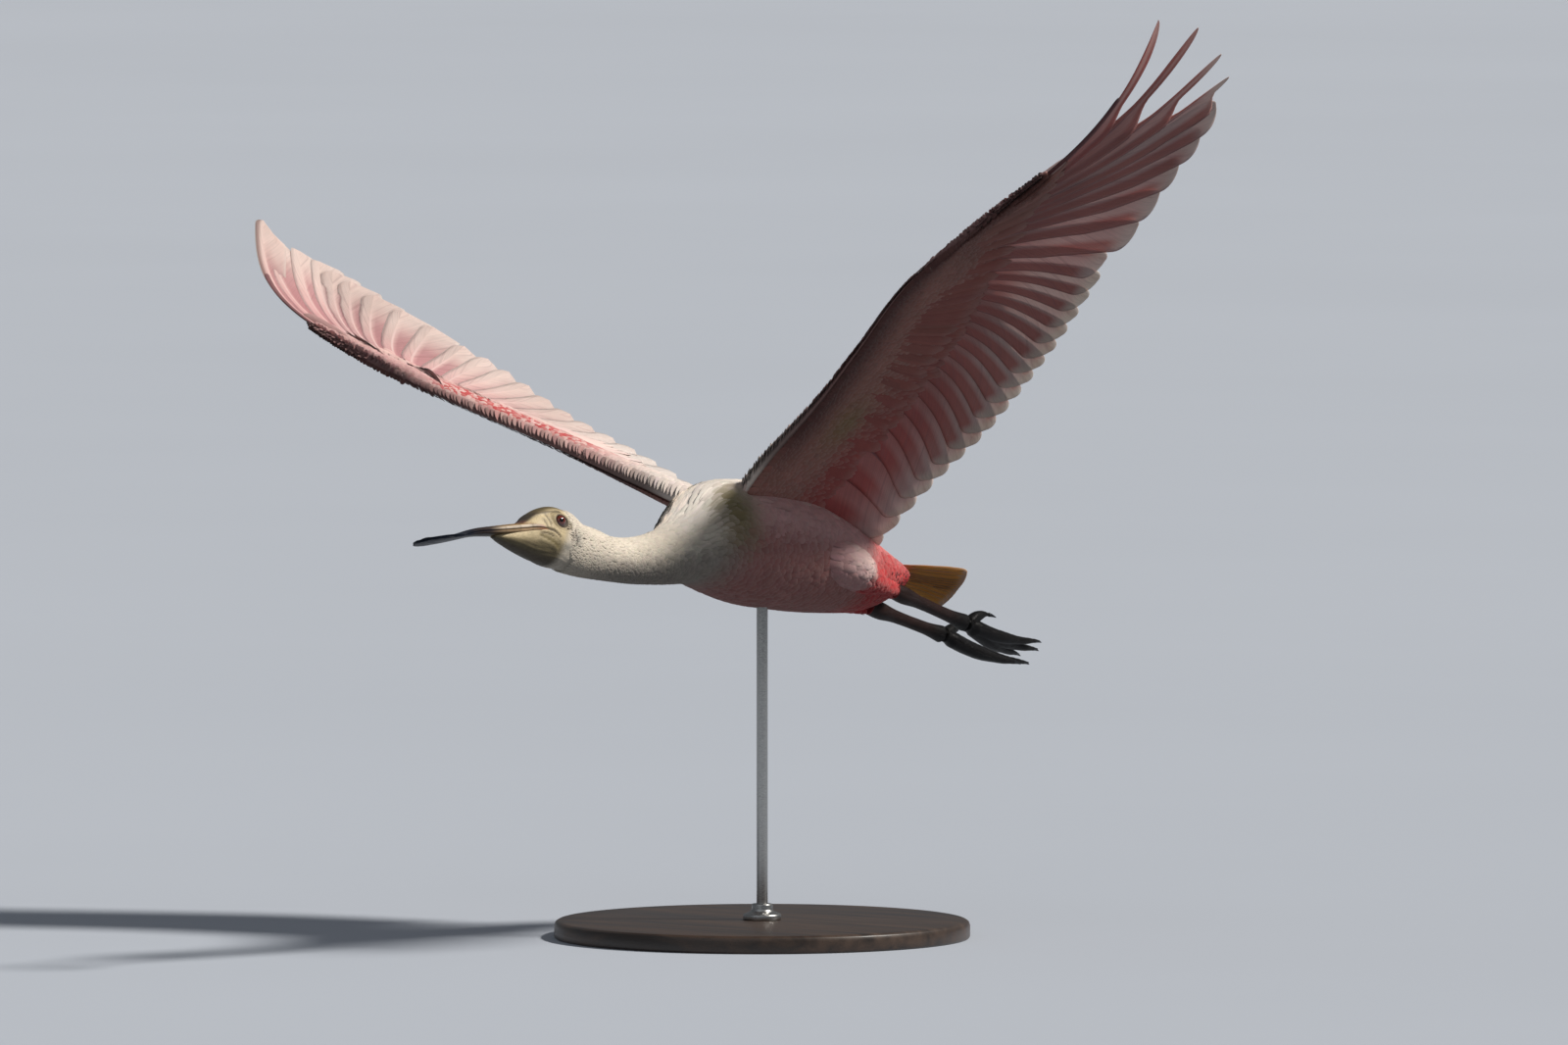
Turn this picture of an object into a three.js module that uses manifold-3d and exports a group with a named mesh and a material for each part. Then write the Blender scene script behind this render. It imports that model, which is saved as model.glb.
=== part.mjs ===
// Roseate spoonbill in flight, life size, on a plain display stand.
// Millimetres. The bird's own frame: +X its left side, +Y towards its tail, +Z up, with the
// origin midway between the shoulder joints. The finished model stands on Z = 0, and its
// origin is the middle of the underside of the stand's base.

import * as THREE from "three";
import { mergeVertices } from "three/addons/utils/BufferGeometryUtils.js";
import Module from "manifold-3d";

const wasm = await Module();
wasm.setup();

// Clearance kept between neighbouring pieces, and the distance at which corners are one
const GAP = 0.3;
const WELD = 1e-4;

// How the bird is held: it banks about a level line that lies BANK_HEADING round from its left
// side towards its tail, so its nose rises and its right wing dips
const BANK_ANGLE = 21;
const BANK_HEADING = 38.95;
const SHOULDER_HEIGHT = 392;
const BALANCE_POINT = { back: 52, down: 38 };

// Stand
const BASE_RADIUS = 185;
const BASE_THICKNESS = 16;
const BASE_BEVEL = 3;
const BASE_SIDES = 32;
const COLLAR_RADIUS = 17;
const COLLAR_HEIGHT = 14;
const COLLAR_RIM = 5;
const COLLAR_WALL = 4;
const COLLAR_SIDES = 14;
const ROD_RADIUS = 5;
const ROD_TOP = 340;
const ROD_SIDES = 14;

// Head, neck and trunk as upright sections: distance ahead of the shoulders, height of the
// upper line, height of the lower line, half width
const BODY_SECTIONS = [
  [322, -111, -114.5, 3.5],
  [310, -105, -116.5, 8],
  [298, -97, -118.5, 11],
  [286, -88.5, -120, 13.5],
  [274, -80, -121, 16],
  [261, -72.5, -122, 18.2],
  [249, -68.5, -122.5, 19.6],
  [234, -67, -122.5, 20],
  [219, -67, -122, 19.5],
  [204, -69.5, -121, 18.6],
  [188, -73.5, -119, 18],
  [172, -76, -116.5, 18],
  [150, -73, -113, 18.6],
  [127, -66, -109, 20.5],
  [100, -54, -103, 24],
  [78, -40, -97.5, 29.5],
  [62, -24, -93, 36],
  [48, -6, -89, 42],
  [34, 6, -87, 47],
  [16, 13, -87.5, 51],
  [-10, 18, -88, 54.5],
  [-40, 20.5, -87, 56],
  [-75, 20.5, -82, 55.5],
  [-112, 17.5, -76, 52],
  [-150, 12, -68, 45],
  [-186, 6, -59, 36],
  [-212, 1.5, -47, 27],
  [-232, -1.5, -33, 19],
  [-246, -4.5, -20, 11],
];
const BODY_FULLNESS = 2.15;
const BODY_SIDES = 16;
const HEAD_FRONT = 322;
const HEAD_END = 204;
const NECK_JOINT = 127;
const NECK_END = 62;
const TRUNK_END = -246;
const BODY_STEPS = { head: 10, neckUpper: 5, neckLower: 5, trunk: 16 };

// Bill: distance ahead of the shoulders, height of the mouth line, half width, rise of the
// upper half above the mouth line, depth of the lower half below it
const BILL_SECTIONS = [
  [266, -95.6, 17, 3.8, 4.4],
  [273, -96.2, 16.6, 4.8, 5],
  [281, -97.6, 15.2, 5.4, 5.4],
  [292, -100.6, 13, 6, 5.4],
  [308, -105, 10.6, 5.6, 4.6],
  [327, -110.2, 8.8, 4.7, 3.9],
  [345, -115.2, 8, 4, 3.4],
  [357, -119.4, 8.1, 3.5, 3.1],
  [366, -123.2, 9.4, 3.2, 2.8],
  [375, -127, 14, 3, 2.6],
  [384.5, -130.8, 19.4, 2.8, 2.4],
  [395, -134.4, 22.6, 2.6, 2.3],
  [405, -137.2, 21, 2.4, 2.1],
  [412, -138.8, 16, 2, 1.8],
  [417, -139.8, 8.6, 1.6, 1.4],
];
const BILL_STEPS = 13;
const BILL_ARCH_STEPS = 5;
const BILL_ARCH_FULLNESS = 0.75;
const BILL_RIM = 0.8;
const MOUTH_GAP = 0.5;

// Eye
const EYE = { ahead: 249.5, side: 14.6, height: -85, radius: 6.4 };
const EYE_SIDES = 10;
const EYE_ROWS = 7;

// Thigh, shank and foot on each side. Points are [ahead, side, height]
const LEG = {
  left: {
    hip: [-62, 34, -38],
    knee: [-122, 42, -41],
    calf: [-160, 32, -41],
    ankle: [-212, 19, -37],
    toes: [-316, 18, -42],
    toeTips: [
      [-410, 7, -47],
      [-427, 15, -40],
      [-416, 26, -37],
    ],
    hindToe: [-352, 21, -27],
  },
  right: {
    hip: [-62, 34, -36],
    knee: [-124, 41, -38],
    calf: [-168, 30, -42],
    ankle: [-226, 20, -41],
    toes: [-328, 18, -43],
    toeTips: [
      [-428, 7, -48],
      [-452, 15, -41],
      [-428, 26, -38],
    ],
    hindToe: [-362, 19, -30],
  },
};
const THIGH_RADII = [13, 19, 20, 16, 11, 8];
const SHANK_RADII = [7.4, 8.2, 6.4, 5.8, 5.8, 6.2, 8];
const TOE_RADII = [6, 5.2, 4.6, 4.4, 3.6, 3, 0.8];
const HIND_TOE_RADII = [4.6, 3.8, 3.2, 0.7];
const TOE_ARCH = 5;
const HIND_TOE_ARCH = 4;
const FOOT_BALL = { radius: 8.6, ahead: 7, stretch: [0.95, 1.25, 0.75] };
const LEG_SIDES = { thigh: 10, shank: 8, toe: 5 };
const LEG_STEPS = { thigh: 8, shank: 7, toe: 5, hindToe: 3 };

// Wing in the flat: span outwards from the shoulder joint and chord backwards from it.
// Leading edge as [span, chord]
const SHOULDER_HALF_SPREAD = 45;
const LEADING_EDGE = [
  [-30, -20],
  [20, -25.5],
  [95, -25.5],
  [160, -40],
  [215, -60],
  [247, -69],
  [300, -74],
  [370, -74.5],
  [430, -69],
];
const ELBOW = { span: 112, chord: 12 };
const WRIST = { span: 247, chord: -77 };
const ARM_START = -28;
const HAND_END = 410;
const ARM_STEPS = 9;
const HAND_STEPS = 6;
// Depth of flesh and coverts above the wing's surface, by span
const ARM_DEPTH = [
  [-30, 15],
  [30, 13],
  [110, 9],
  [200, 6],
  [247, 5.2],
  [330, 3.4],
  [412, 1.2],
];
const UNDERSIDE_SHARE = 0.75;
const COVERT_EDGE = 0.95;
const CHORD_STEPS = 6;
const WING_CAMBER = 9;

// Ten flight feathers of the hand, innermost first: length, and angle from the chord towards the
// wing tip
const PRIMARY_LENGTH = [190, 207, 217, 229, 245, 257, 268, 262, 252, 225];
const PRIMARY_ANGLE = [32.3, 40.4, 47.4, 53.8, 58.5, 62.2, 65.1, 71.1, 81.1, 89.2];
const PRIMARY_ROWS = [0, 0.52, 0.58, 0.72, 0.9, 0.97, 1];
const FINGER_HALF_WIDTH = 5.6;
// Seventeen flight feathers of the arm, outermost first, by the place along their row, 0 at the
// wrist and 1 at the body. Tips are span and chord; the bow is a polynomial of the place. Roots
// run from the wrist, 0, over the elbow, 1, to the body, 2, and crowd together near the elbow
const SECONDARY_COUNT = 17;
const SECONDARY_TIPS = [
  [0, 338, 101],
  [0.15, 287, 121],
  [0.3, 236, 141],
  [0.45, 185, 160],
  [0.6, 134, 175],
  [0.75, 83, 178],
  [1, -2, 179],
];
const SECONDARY_BOW = [17, 38, -49];
const SECONDARY_ROOTS = { first: 0.1, spread: 0.8, crowding: 1.1, power: 6 };
const BODY_END = [-5, 22];
const SECONDARY_SLOT = 0.94;
const SECONDARY_ROWS = [0, 0.45, 0.94, 1];
// Share of each flight feather that lies under the coverts
const PRIMARY_COVERED = 0.27;
const SECONDARY_COVERED = 0.42;
const TUCKED_SHARE = 0.04;
const VANE_THICKNESS = 1;
const TIP_THINNING = 0.35;

// How each wing is raised, twisted and bent: degrees at the shoulder, wrist and tip. Curl is
// the lift of the primaries' tips above the wing's surface and armCurl that of the secondaries
// beyond the wrist. Fan is the angle added to the primaries, and bow how far the innermost and
// outermost of them bend backwards. Slots say how far along each pair of neighbouring primaries
// lies joined, and edge is the width of the outermost one's outer vane
const WING_POSE = {
  left: {
    yaw: -3.3,
    rise: [40.1, 25.2, 39.7],
    twist: [-3.1, 1.6, -9.6],
    curl: [-3, -0.6, 34.9],
    armCurl: -3,
    fan: [0, 0],
    bow: [-12, 4.2],
    slots: [0.9, 0.9, 0.9, 0.9, 0.9, 0.9, 0.72, 0.58, 0.52],
    edge: 4,
  },
  right: {
    yaw: 7.2,
    rise: [29.7, 32.7, 44.8],
    twist: [6.5, -1, -3.3],
    curl: [31, -50, 53],
    armCurl: 19.6,
    fan: [-5.3, -12.2],
    bow: [-12, -19],
    slots: [0.9, 0.9, 0.9, 0.9, 0.9, 0.9, 0.9, 0.9, 0.9],
    edge: 9,
  },
};
const CURL_POWER = 3.4;
const ARM_CURL_SHARE = 0.35;
const INNER_BEND = [0, 260];
const OUTER_BEND = [230, 620];

// Tail
const TAIL = {
  count: 12,
  root: 214,
  rootHeight: -13,
  rootHalfWidth: 7,
  length: 110,
  rise: 6.6,
  spread: 6.6,
  swing: 4,
  roll: 37,
};
const TAIL_SLOT = 0.93;
const TAIL_ROWS = [0, 0.93, 1];

// Colours
const COLOUR = {
  skinBuff: 0xc3b27e,
  bill: 0x5b5a4c,
  eye: 0x8a2a12,
  neckWhite: 0xe4dccb,
  palePink: 0xe6b7b0,
  rosePink: 0xd9a6a2,
  carmine: 0xc9525a,
  ochre: 0xc98a45,
  legRed: 0x4a2f2c,
  footBlack: 0x1f1b1b,
  standWood: 0x3a3532,
  standSteel: 0xb8b8b4,
};

const radians = THREE.MathUtils.degToRad;
const { clamp, smoothstep, lerp } = THREE.MathUtils;
const bySide = { left: 1, right: -1 };

// A point given as distance ahead, to the left and up
const place = ([ahead, side, height]) => new THREE.Vector3(side, -ahead, height);

const polynomial = (terms, x) => terms.reduce((sum, term, power) => sum + term * x ** power, 0);

const steps = (count, visit) => Array.from({ length: count + 1 }, (_, k) => visit(k / count, k));

const plain = (geometry) => geometry.deleteAttribute("normal").deleteAttribute("uv");

// Smooth curve through a table whose first column steps evenly one way; gives the other columns
function smoothTable(rows) {
  const sign = Math.sign(rows[1][0] - rows[0][0]);
  return (x) => {
    let k = 0;
    while (k < rows.length - 2 && sign * x > sign * rows[k + 1][0]) k += 1;
    const [a, b] = [rows[k], rows[k + 1]];
    const before = rows[Math.max(k - 1, 0)];
    const after = rows[Math.min(k + 2, rows.length - 1)];
    const h = b[0] - a[0];
    const t = clamp((x - a[0]) / h, 0, 1);
    const [t2, t3] = [t * t, t * t * t];
    return a.slice(1).map((ya, c) => {
      const yb = b[c + 1];
      const slopeA = ((yb - before[c + 1]) / (b[0] - before[0])) * h;
      const slopeB = ((after[c + 1] - ya) / (after[0] - a[0])) * h;
      const ends = (2 * t3 - 3 * t2 + 1) * ya + (3 * t2 - 2 * t3) * yb;
      return ends + (t3 - 2 * t2 + t) * slopeA + (t3 - t2) * slopeB;
    });
  };
}

// The triangles of an indexed geometry, without those that have collapsed
function trianglesOf(geometry) {
  const index = geometry.getIndex().array;
  const kept = [];
  for (let i = 0; i < index.length; i += 3) {
    const [a, b, c] = [index[i], index[i + 1], index[i + 2]];
    if (a !== b && b !== c && a !== c) kept.push([a, b, c]);
  }
  return kept;
}

// Volume inside a list of triangles, negative where they face inwards
function volumeOf(geometry, triangles) {
  const position = geometry.getAttribute("position");
  const corner = (i) => new THREE.Vector3().fromBufferAttribute(position, i);
  return triangles.reduce((sum, [a, b, c]) => sum + corner(a).dot(corner(b).cross(corner(c))) / 6, 0);
}

// Turns the faces of a closed geometry outwards
function facingOut(geometry) {
  const triangles = trianglesOf(geometry);
  const inwards = volumeOf(geometry, triangles) < 0;
  return geometry.setIndex(triangles.flatMap(([a, b, c]) => (inwards ? [a, c, b] : [a, b, c])));
}

function closedGeometry(triangles) {
  const raw = new THREE.BufferGeometry();
  const corners = triangles.flat().flatMap((p) => p.toArray());
  raw.setAttribute("position", new THREE.Float32BufferAttribute(corners, 3));
  return facingOut(mergeVertices(raw, WELD));
}

// Closed loft through rings of equal count, with a flat fan over each end
function loft(rings) {
  const triangles = [];
  const count = rings[0].length;
  for (let r = 0; r + 1 < rings.length; r += 1) {
    for (let i = 0; i < count; i += 1) {
      const j = (i + 1) % count;
      const [a, b, c, d] = [rings[r][i], rings[r][j], rings[r + 1][j], rings[r + 1][i]];
      triangles.push([a, b, c], [a, c, d]);
    }
  }
  const cap = (ring, turned) => {
    const middle = new THREE.Vector3();
    ring.forEach((p) => middle.addScaledVector(p, 1 / count));
    ring.forEach((p, i) => {
      const q = ring[(i + 1) % count];
      triangles.push(turned ? [middle, q, p] : [middle, p, q]);
    });
  };
  cap(rings[0], true);
  cap(rings[rings.length - 1], false);
  return closedGeometry(triangles);
}

// Round tube of changing radius along a smooth path
function limb(points, radii, sides, count, grow = 0) {
  const path = new THREE.CatmullRomCurve3(points, false, "centripetal");
  const frames = path.computeFrenetFrames(count);
  const radiusAt = smoothTable(radii.map((r, i) => [i / (radii.length - 1), r]));
  const rings = steps(count, (t, k) => {
    const centre = path.getPointAt(t);
    const [radius] = radiusAt(t);
    return Array.from({ length: sides }, (_, i) => {
      const turn = (i / sides) * 2 * Math.PI;
      return centre
        .clone()
        .addScaledVector(frames.normals[k], Math.cos(turn) * (radius + grow))
        .addScaledVector(frames.binormals[k], Math.sin(turn) * (radius + grow));
    });
  });
  return loft(rings);
}

function solidOf(geometry) {
  const merged = mergeVertices(geometry, WELD);
  return new wasm.Manifold(
    new wasm.Mesh({
      numProp: 3,
      vertProperties: new Float32Array(merged.getAttribute("position").array),
      triVerts: new Uint32Array(merged.getIndex().array),
    }),
  );
}

// Largest connected piece of a solid, so that no crumb of a cut is left beside it
function geometryOf(solid) {
  const mesh = solid.getMesh();
  const geometry = new THREE.BufferGeometry();
  geometry.setAttribute("position", new THREE.Float32BufferAttribute(mesh.vertProperties, 3));
  geometry.setIndex(Array.from(mesh.triVerts));
  const triangles = trianglesOf(geometry);
  const leader = Array.from({ length: mesh.vertProperties.length / 3 }, (_, i) => i);
  const find = (i) => {
    let k = i;
    while (leader[k] !== k) {
      leader[k] = leader[leader[k]];
      k = leader[k];
    }
    return k;
  };
  triangles.forEach(([a, b, c]) => {
    leader[find(b)] = find(a);
    leader[find(c)] = find(a);
  });
  const pieces = new Map();
  triangles.forEach((triangle) => {
    const key = find(triangle[0]);
    pieces.set(key, [...(pieces.get(key) ?? []), triangle]);
  });
  const largest = [...pieces.values()].reduce((best, piece) =>
    volumeOf(geometry, piece) > volumeOf(geometry, best) ? piece : best,
  );
  return geometry.setIndex(largest.flat());
}

// Named mesh with its own finish
function addMesh(group, name, geometry, colour, roughness, metalness = 0) {
  const material = new THREE.MeshStandardMaterial({ color: colour, roughness, metalness });
  const mesh = new THREE.Mesh(plain(geometry), material);
  mesh.name = name;
  group.add(mesh);
}

// Body: head, two lengths of neck, trunk
const bodyAt = smoothTable(BODY_SECTIONS);

function bodyRing(ahead, grow, shift) {
  const [top, bottom, halfWidth] = bodyAt(ahead);
  const halfHeight = (top - bottom) / 2 + grow;
  const power = 2 / BODY_FULLNESS;
  const full = (x) => Math.sign(x) * Math.abs(x) ** power;
  return Array.from({ length: BODY_SIDES }, (_, i) => {
    const turn = (i / BODY_SIDES) * 2 * Math.PI;
    const across = full(Math.cos(turn)) * (halfWidth + grow);
    const height = (top + bottom) / 2 + full(Math.sin(turn)) * halfHeight;
    return place([ahead + shift, across, height]);
  });
}

// One length of the body; the ends of a grown copy are grown too
function bodyLength(front, back, count, grow = 0) {
  const shifts = { 0: grow, [count]: -grow };
  return loft(steps(count, (t, k) => bodyRing(lerp(front, back, t), grow, shifts[k] ?? 0)));
}

// Bill halves: flat along the mouth line, arched above or below it
const billAt = smoothTable(BILL_SECTIONS);

function billHalf(upper, grow = 0) {
  const [front, back] = [BILL_SECTIONS[BILL_SECTIONS.length - 1][0], BILL_SECTIONS[0][0]];
  const side = upper ? 1 : -1;
  const shifts = { 0: -grow, [BILL_STEPS]: grow };
  const rings = steps(BILL_STEPS, (t, k) => {
    const ahead = lerp(back, front, t);
    const [mouth, halfWidth, rise, depth] = billAt(ahead);
    const flat = MOUTH_GAP / 2 - grow;
    const height = (upper ? rise : depth) + grow - flat;
    const reach = ahead + (shifts[k] ?? 0);
    const point = (across, up) => place([reach, across * (halfWidth + grow), mouth + side * up]);
    const arch = steps(BILL_ARCH_STEPS, (share) => {
      const turn = share * Math.PI;
      const lift = Math.sin(turn) ** BILL_ARCH_FULLNESS;
      return point(Math.cos(turn), flat + height * lift + (BILL_RIM + 2 * grow) * (1 - lift));
    });
    return [...arch, point(-1, flat), point(1, flat)];
  });
  return loft(rings);
}

// Wing surface: a spar that bends up or down along the span, with each chord twisted about it
const SPAR_STEP = 5;
const SPAR_LENGTH = 720;

function posedWing(side) {
  const pose = WING_POSE[side];
  const blend = (s, [root, wrist, tip]) =>
    root + (wrist - root) * smoothstep(s, ...INNER_BEND) + (tip - wrist) * smoothstep(s, ...OUTER_BEND);
  const spar = [[0, 0]];
  for (let s = 0; s < SPAR_LENGTH; s += SPAR_STEP) {
    const rise = radians((blend(s, pose.rise) + blend(s + SPAR_STEP, pose.rise)) / 2);
    const [out, up] = spar[spar.length - 1];
    spar.push([out + SPAR_STEP * Math.cos(rise), up + SPAR_STEP * Math.sin(rise)]);
  }
  const sparAt = (s) => {
    const rootRise = radians(pose.rise[0]);
    if (s <= 0) return [s * Math.cos(rootRise), s * Math.sin(rootRise)];
    const k = Math.floor(s / SPAR_STEP);
    return [0, 1].map((c) => lerp(spar[k][c], spar[k + 1][c], s / SPAR_STEP - k));
  };
  const yaw = radians(pose.yaw);
  return (span, chord, height) => {
    const s = span * Math.cos(yaw) + chord * Math.sin(yaw);
    const c = chord * Math.cos(yaw) - span * Math.sin(yaw);
    const [out, up] = sparAt(s);
    const rise = radians(blend(s, pose.rise));
    const twist = radians(blend(s, pose.twist));
    const back = c * Math.cos(twist) + height * Math.sin(twist);
    const over = height * Math.cos(twist) - c * Math.sin(twist);
    const outwards = SHOULDER_HALF_SPREAD + out - over * Math.sin(rise);
    return place([-back, bySide[side] * outwards, up + over * Math.cos(rise)]);
  };
}

const leadingAt = smoothTable(LEADING_EDGE);
const LEADING_RANGE = [LEADING_EDGE[0][0], LEADING_EDGE[LEADING_EDGE.length - 1][0]];

// The wing arches over its bones and falls away towards the hind edge
function camber(span, chord) {
  const [front] = leadingAt(clamp(span, ...LEADING_RANGE));
  const x = clamp((chord - front) / 200, 0, 1);
  return WING_CAMBER * (Math.sin(Math.PI * Math.sqrt(x)) - 0.25) * (1 - smoothstep(span, 300, 480));
}

// Flight feathers in the flat. A feather has a shaft, which gives [span, chord] at a share of
// its length, and a lift above the wing's surface
function primary(i, side) {
  const u = i / (PRIMARY_LENGTH.length - 1);
  const { fan, curl, bow } = WING_POSE[side];
  const angle = radians(PRIMARY_ANGLE[i] + fan[0] * u + fan[1] * u * u);
  const [sin, cos] = [Math.sin(angle), Math.cos(angle)];
  const root = [WRIST.span + 10 + 95 * u, WRIST.chord + 4 + 8 * u];
  const bend = bow[0] * (1 - u) + bow[1] * u ** 3;
  const tipLift = curl[0] + curl[1] * u * u + curl[2] * u ** 5;
  const shaft = (t) => {
    const [along, aside] = [PRIMARY_LENGTH[i] * t, bend * Math.sin(Math.PI * t)];
    return [root[0] + along * sin - aside * cos, root[1] + along * cos + aside * sin];
  };
  return { shaft, lift: (t) => tipLift * t ** CURL_POWER };
}

const secondaryTipAt = smoothTable(SECONDARY_TIPS);

function secondary(j, side) {
  const v = j / (SECONDARY_COUNT - 1);
  const { first, spread, crowding, power } = SECONDARY_ROOTS;
  const w = first + spread * v + crowding * v ** power;
  const wristEnd = [WRIST.span, WRIST.chord + 5];
  const elbow = [ELBOW.span, ELBOW.chord];
  const [from, to, share] = w <= 1 ? [wristEnd, elbow, w] : [elbow, BODY_END, w - 1];
  const root = [0, 1].map((c) => lerp(from[c], to[c], share));
  const tip = secondaryTipAt(v);
  const length = Math.hypot(tip[0] - root[0], tip[1] - root[1]);
  const [sin, cos] = [0, 1].map((c) => (tip[c] - root[c]) / length);
  const bend = polynomial(SECONDARY_BOW, v);
  const { curl, armCurl } = WING_POSE[side];
  const tipLift = lerp(curl[0], armCurl, smoothstep(v, 0, ARM_CURL_SHARE));
  const shaft = (t) => {
    const [along, aside] = [length * t, bend * Math.sin(Math.PI * t)];
    return [root[0] + along * sin + aside * cos, root[1] + along * cos - aside * sin];
  };
  return { shaft, lift: (t) => tipLift * t ** CURL_POWER };
}

// The part of a feather beyond a covered share of its length
const bareOf = ({ shaft, lift }, covered) => ({
  shaft: (t) => shaft(lerp(covered, 1, t)),
  lift: (t) => lift(lerp(covered, 1, t)),
});

// A fan of feathers as one thin closed sheet. Neighbours are joined up to their slot and part
// beyond it: slots[i] lies between feathers i and i + 1. A feather of the next fan, given as
// beside, bounds this fan at its first feather
function featherFan(feathers, slots, rows, surface, { outerHalf, finger, tipPower, turn, beside }) {
  const direction = (feather, t) => {
    const [p, q] = [feather.shaft(t - 0.01), feather.shaft(t + 0.01)];
    const length = Math.hypot(q[0] - p[0], q[1] - p[1]);
    return [(q[0] - p[0]) / length, (q[1] - p[1]) / length];
  };
  const neighbour = (i, way) => (i + way < 0 ? beside : feathers[i + way]);
  const slotOf = (i, way) => {
    if (!neighbour(i, way)) return -1;
    if (i + way < 0) return slots[0];
    return slots[way > 0 ? i : i - 1];
  };
  const welded = (i, way, t) => way !== 0 && t <= slotOf(i, way) + WELD;
  const middle = (p, q) => [(p[0] + q[0]) / 2, (p[1] + q[1]) / 2];
  const edge = (i, way, t) => {
    const feather = feathers[i];
    const own = feather.shaft(t);
    if (way === 0) return own;
    const slot = slotOf(i, way);
    const [along, back] = direction(feather, t);
    const [outX, outY] = [back * turn * way, -along * turn * way];
    if (welded(i, way, t)) {
      const between = middle(own, neighbour(i, way).shaft(t));
      const inset = i + way < 0 ? GAP / 2 : 0;
      return [between[0] - outX * inset, between[1] - outY * inset];
    }
    const start = Math.max(slot, 0);
    let half = outerHalf;
    if (slot >= 0) {
      const [p, q] = [feather.shaft(start), neighbour(i, way).shaft(start)];
      half = Math.hypot(p[0] - q[0], p[1] - q[1]) / 2 - (i + way < 0 ? GAP / 2 : 0);
    }
    const w = (t - start) / (1 - start);
    if (finger && half > finger && start < 0.75) half = lerp(half, finger, smoothstep(w, 0, 0.45));
    const width = half * Math.sqrt(Math.max(1 - w ** tipPower, 0.02));
    return [own[0] + outX * width, own[1] + outY * width];
  };
  const lifted = ([span, chord], i, way, t, layer) => {
    const own = feathers[i].lift(t);
    const lift = welded(i, way, t) ? (own + neighbour(i, way).lift(t)) / 2 : own;
    const half = (VANE_THICKNESS / 2) * (1 - TIP_THINNING * t);
    return surface(span, chord, lift + layer * half);
  };
  const triangles = [];
  const quad = (a, b, c, d) => triangles.push([a, b, c], [a, c, d]);
  feathers.forEach((feather, i) => {
    const grid = rows.map((t) =>
      [-1, 0, 1].map((way) => {
        const flat = edge(i, way, t);
        return { over: lifted(flat, i, way, t, 1), under: lifted(flat, i, way, t, -1) };
      }),
    );
    for (let k = 0; k + 1 < rows.length; k += 1) {
      [0, 1].forEach((c) => {
        const [a, b, d, e] = [grid[k][c], grid[k][c + 1], grid[k + 1][c], grid[k + 1][c + 1]];
        quad(a.over, b.over, e.over, d.over);
        quad(a.under, d.under, e.under, b.under);
      });
      [-1, 1].forEach((way) => {
        const shared = i + way >= 0 && welded(i, way, rows[k + 1]);
        if (shared) return;
        const [a, d] = [grid[k][way + 1], grid[k + 1][way + 1]];
        if (way < 0) quad(a.over, d.over, d.under, a.under);
        else quad(a.over, a.under, d.under, d.over);
      });
    }
    [0, 1].forEach((c) => {
      const [first, last] = [grid[0], grid[rows.length - 1]];
      quad(first[c].over, first[c].under, first[c + 1].under, first[c + 1].over);
      quad(last[c].over, last[c + 1].over, last[c + 1].under, last[c].under);
    });
  });
  return closedGeometry(triangles);
}

// Line across the wing where the coverts end and the bare flight feathers begin, as a table of
// span, chord and the feathers' lift there
function covertLine(primaries, secondaries) {
  const edgePoint = ({ shaft, lift }, share) => [...shaft(share), lift(share)];
  const rows = [
    ...secondaries.map((feather) => edgePoint(feather, SECONDARY_COVERED)),
    ...primaries.map((feather) => edgePoint(feather, PRIMARY_COVERED)),
  ].sort((a, b) => a[0] - b[0]);
  return smoothTable(rows.filter((row, k) => k === 0 || row[0] - rows[k - 1][0] > 4));
}

// Thickness of an aerofoil of unit depth, at a share of its chord
const aerofoil = (x) => 2 * (1.48 * Math.sqrt(x) - 0.63 * x - 1.76 * x * x + 1.42 * x ** 3 - 0.51 * x ** 4);

// Fleshy part of the wing with its coverts, between two places along the span
const depthAt = smoothTable(ARM_DEPTH);

function wingFlesh(surface, covertsAt, from, to, count, grow = 0) {
  const shares = steps(CHORD_STEPS, (t) => (1 - Math.cos(t * Math.PI)) / 2);
  const shifts = { 0: -grow, [count]: grow };
  const rings = steps(count, (t, k) => {
    const span = lerp(from, to, t);
    const [front] = leadingAt(span);
    const [hind, hindLift] = covertsAt(span);
    const [depth] = depthAt(span);
    const point = (x, layer) => {
      const chord = lerp(front - grow, hind + grow, x);
      const height = camber(span, chord) + hindLift * x ** 3;
      const thickness = (depth * aerofoil(x) + COVERT_EDGE) * (layer > 0 ? 1 : UNDERSIDE_SHARE) + grow;
      return surface(span + (shifts[k] ?? 0), chord, height + layer * thickness);
    };
    return [...shares.map((x) => point(x, 1)), ...[...shares].reverse().map((x) => point(x, -1))];
  });
  return loft(rings);
}

// Bird
const bird = new THREE.Group();
const bankAxis = new THREE.Vector3(Math.cos(radians(BANK_HEADING)), Math.sin(radians(BANK_HEADING)), 0);
bird.quaternion.setFromAxisAngle(bankAxis, -radians(BANK_ANGLE));
const balance = place([-BALANCE_POINT.back, 0, -BALANCE_POINT.down]).applyQuaternion(bird.quaternion);
bird.position.set(-balance.x, -balance.y, SHOULDER_HEIGHT);
bird.updateMatrix();

const ROD_BOTTOM = BASE_THICKNESS + GAP;

// Upright rod, in the stand's frame
function rodGeometry(grow) {
  const length = ROD_TOP - ROD_BOTTOM;
  const rod = new THREE.CylinderGeometry(ROD_RADIUS + grow, ROD_RADIUS + grow, length + grow, ROD_SIDES);
  return plain(rod.rotateX(Math.PI / 2).translate(0, 0, ROD_BOTTOM + (length + grow) / 2));
}

const rodHole = solidOf(rodGeometry(GAP).applyMatrix4(bird.matrix.clone().invert()));
const trunkLength = [NECK_END - GAP / 2, TRUNK_END, BODY_STEPS.trunk];
const trunkGrown = solidOf(bodyLength(...trunkLength, GAP));

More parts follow.
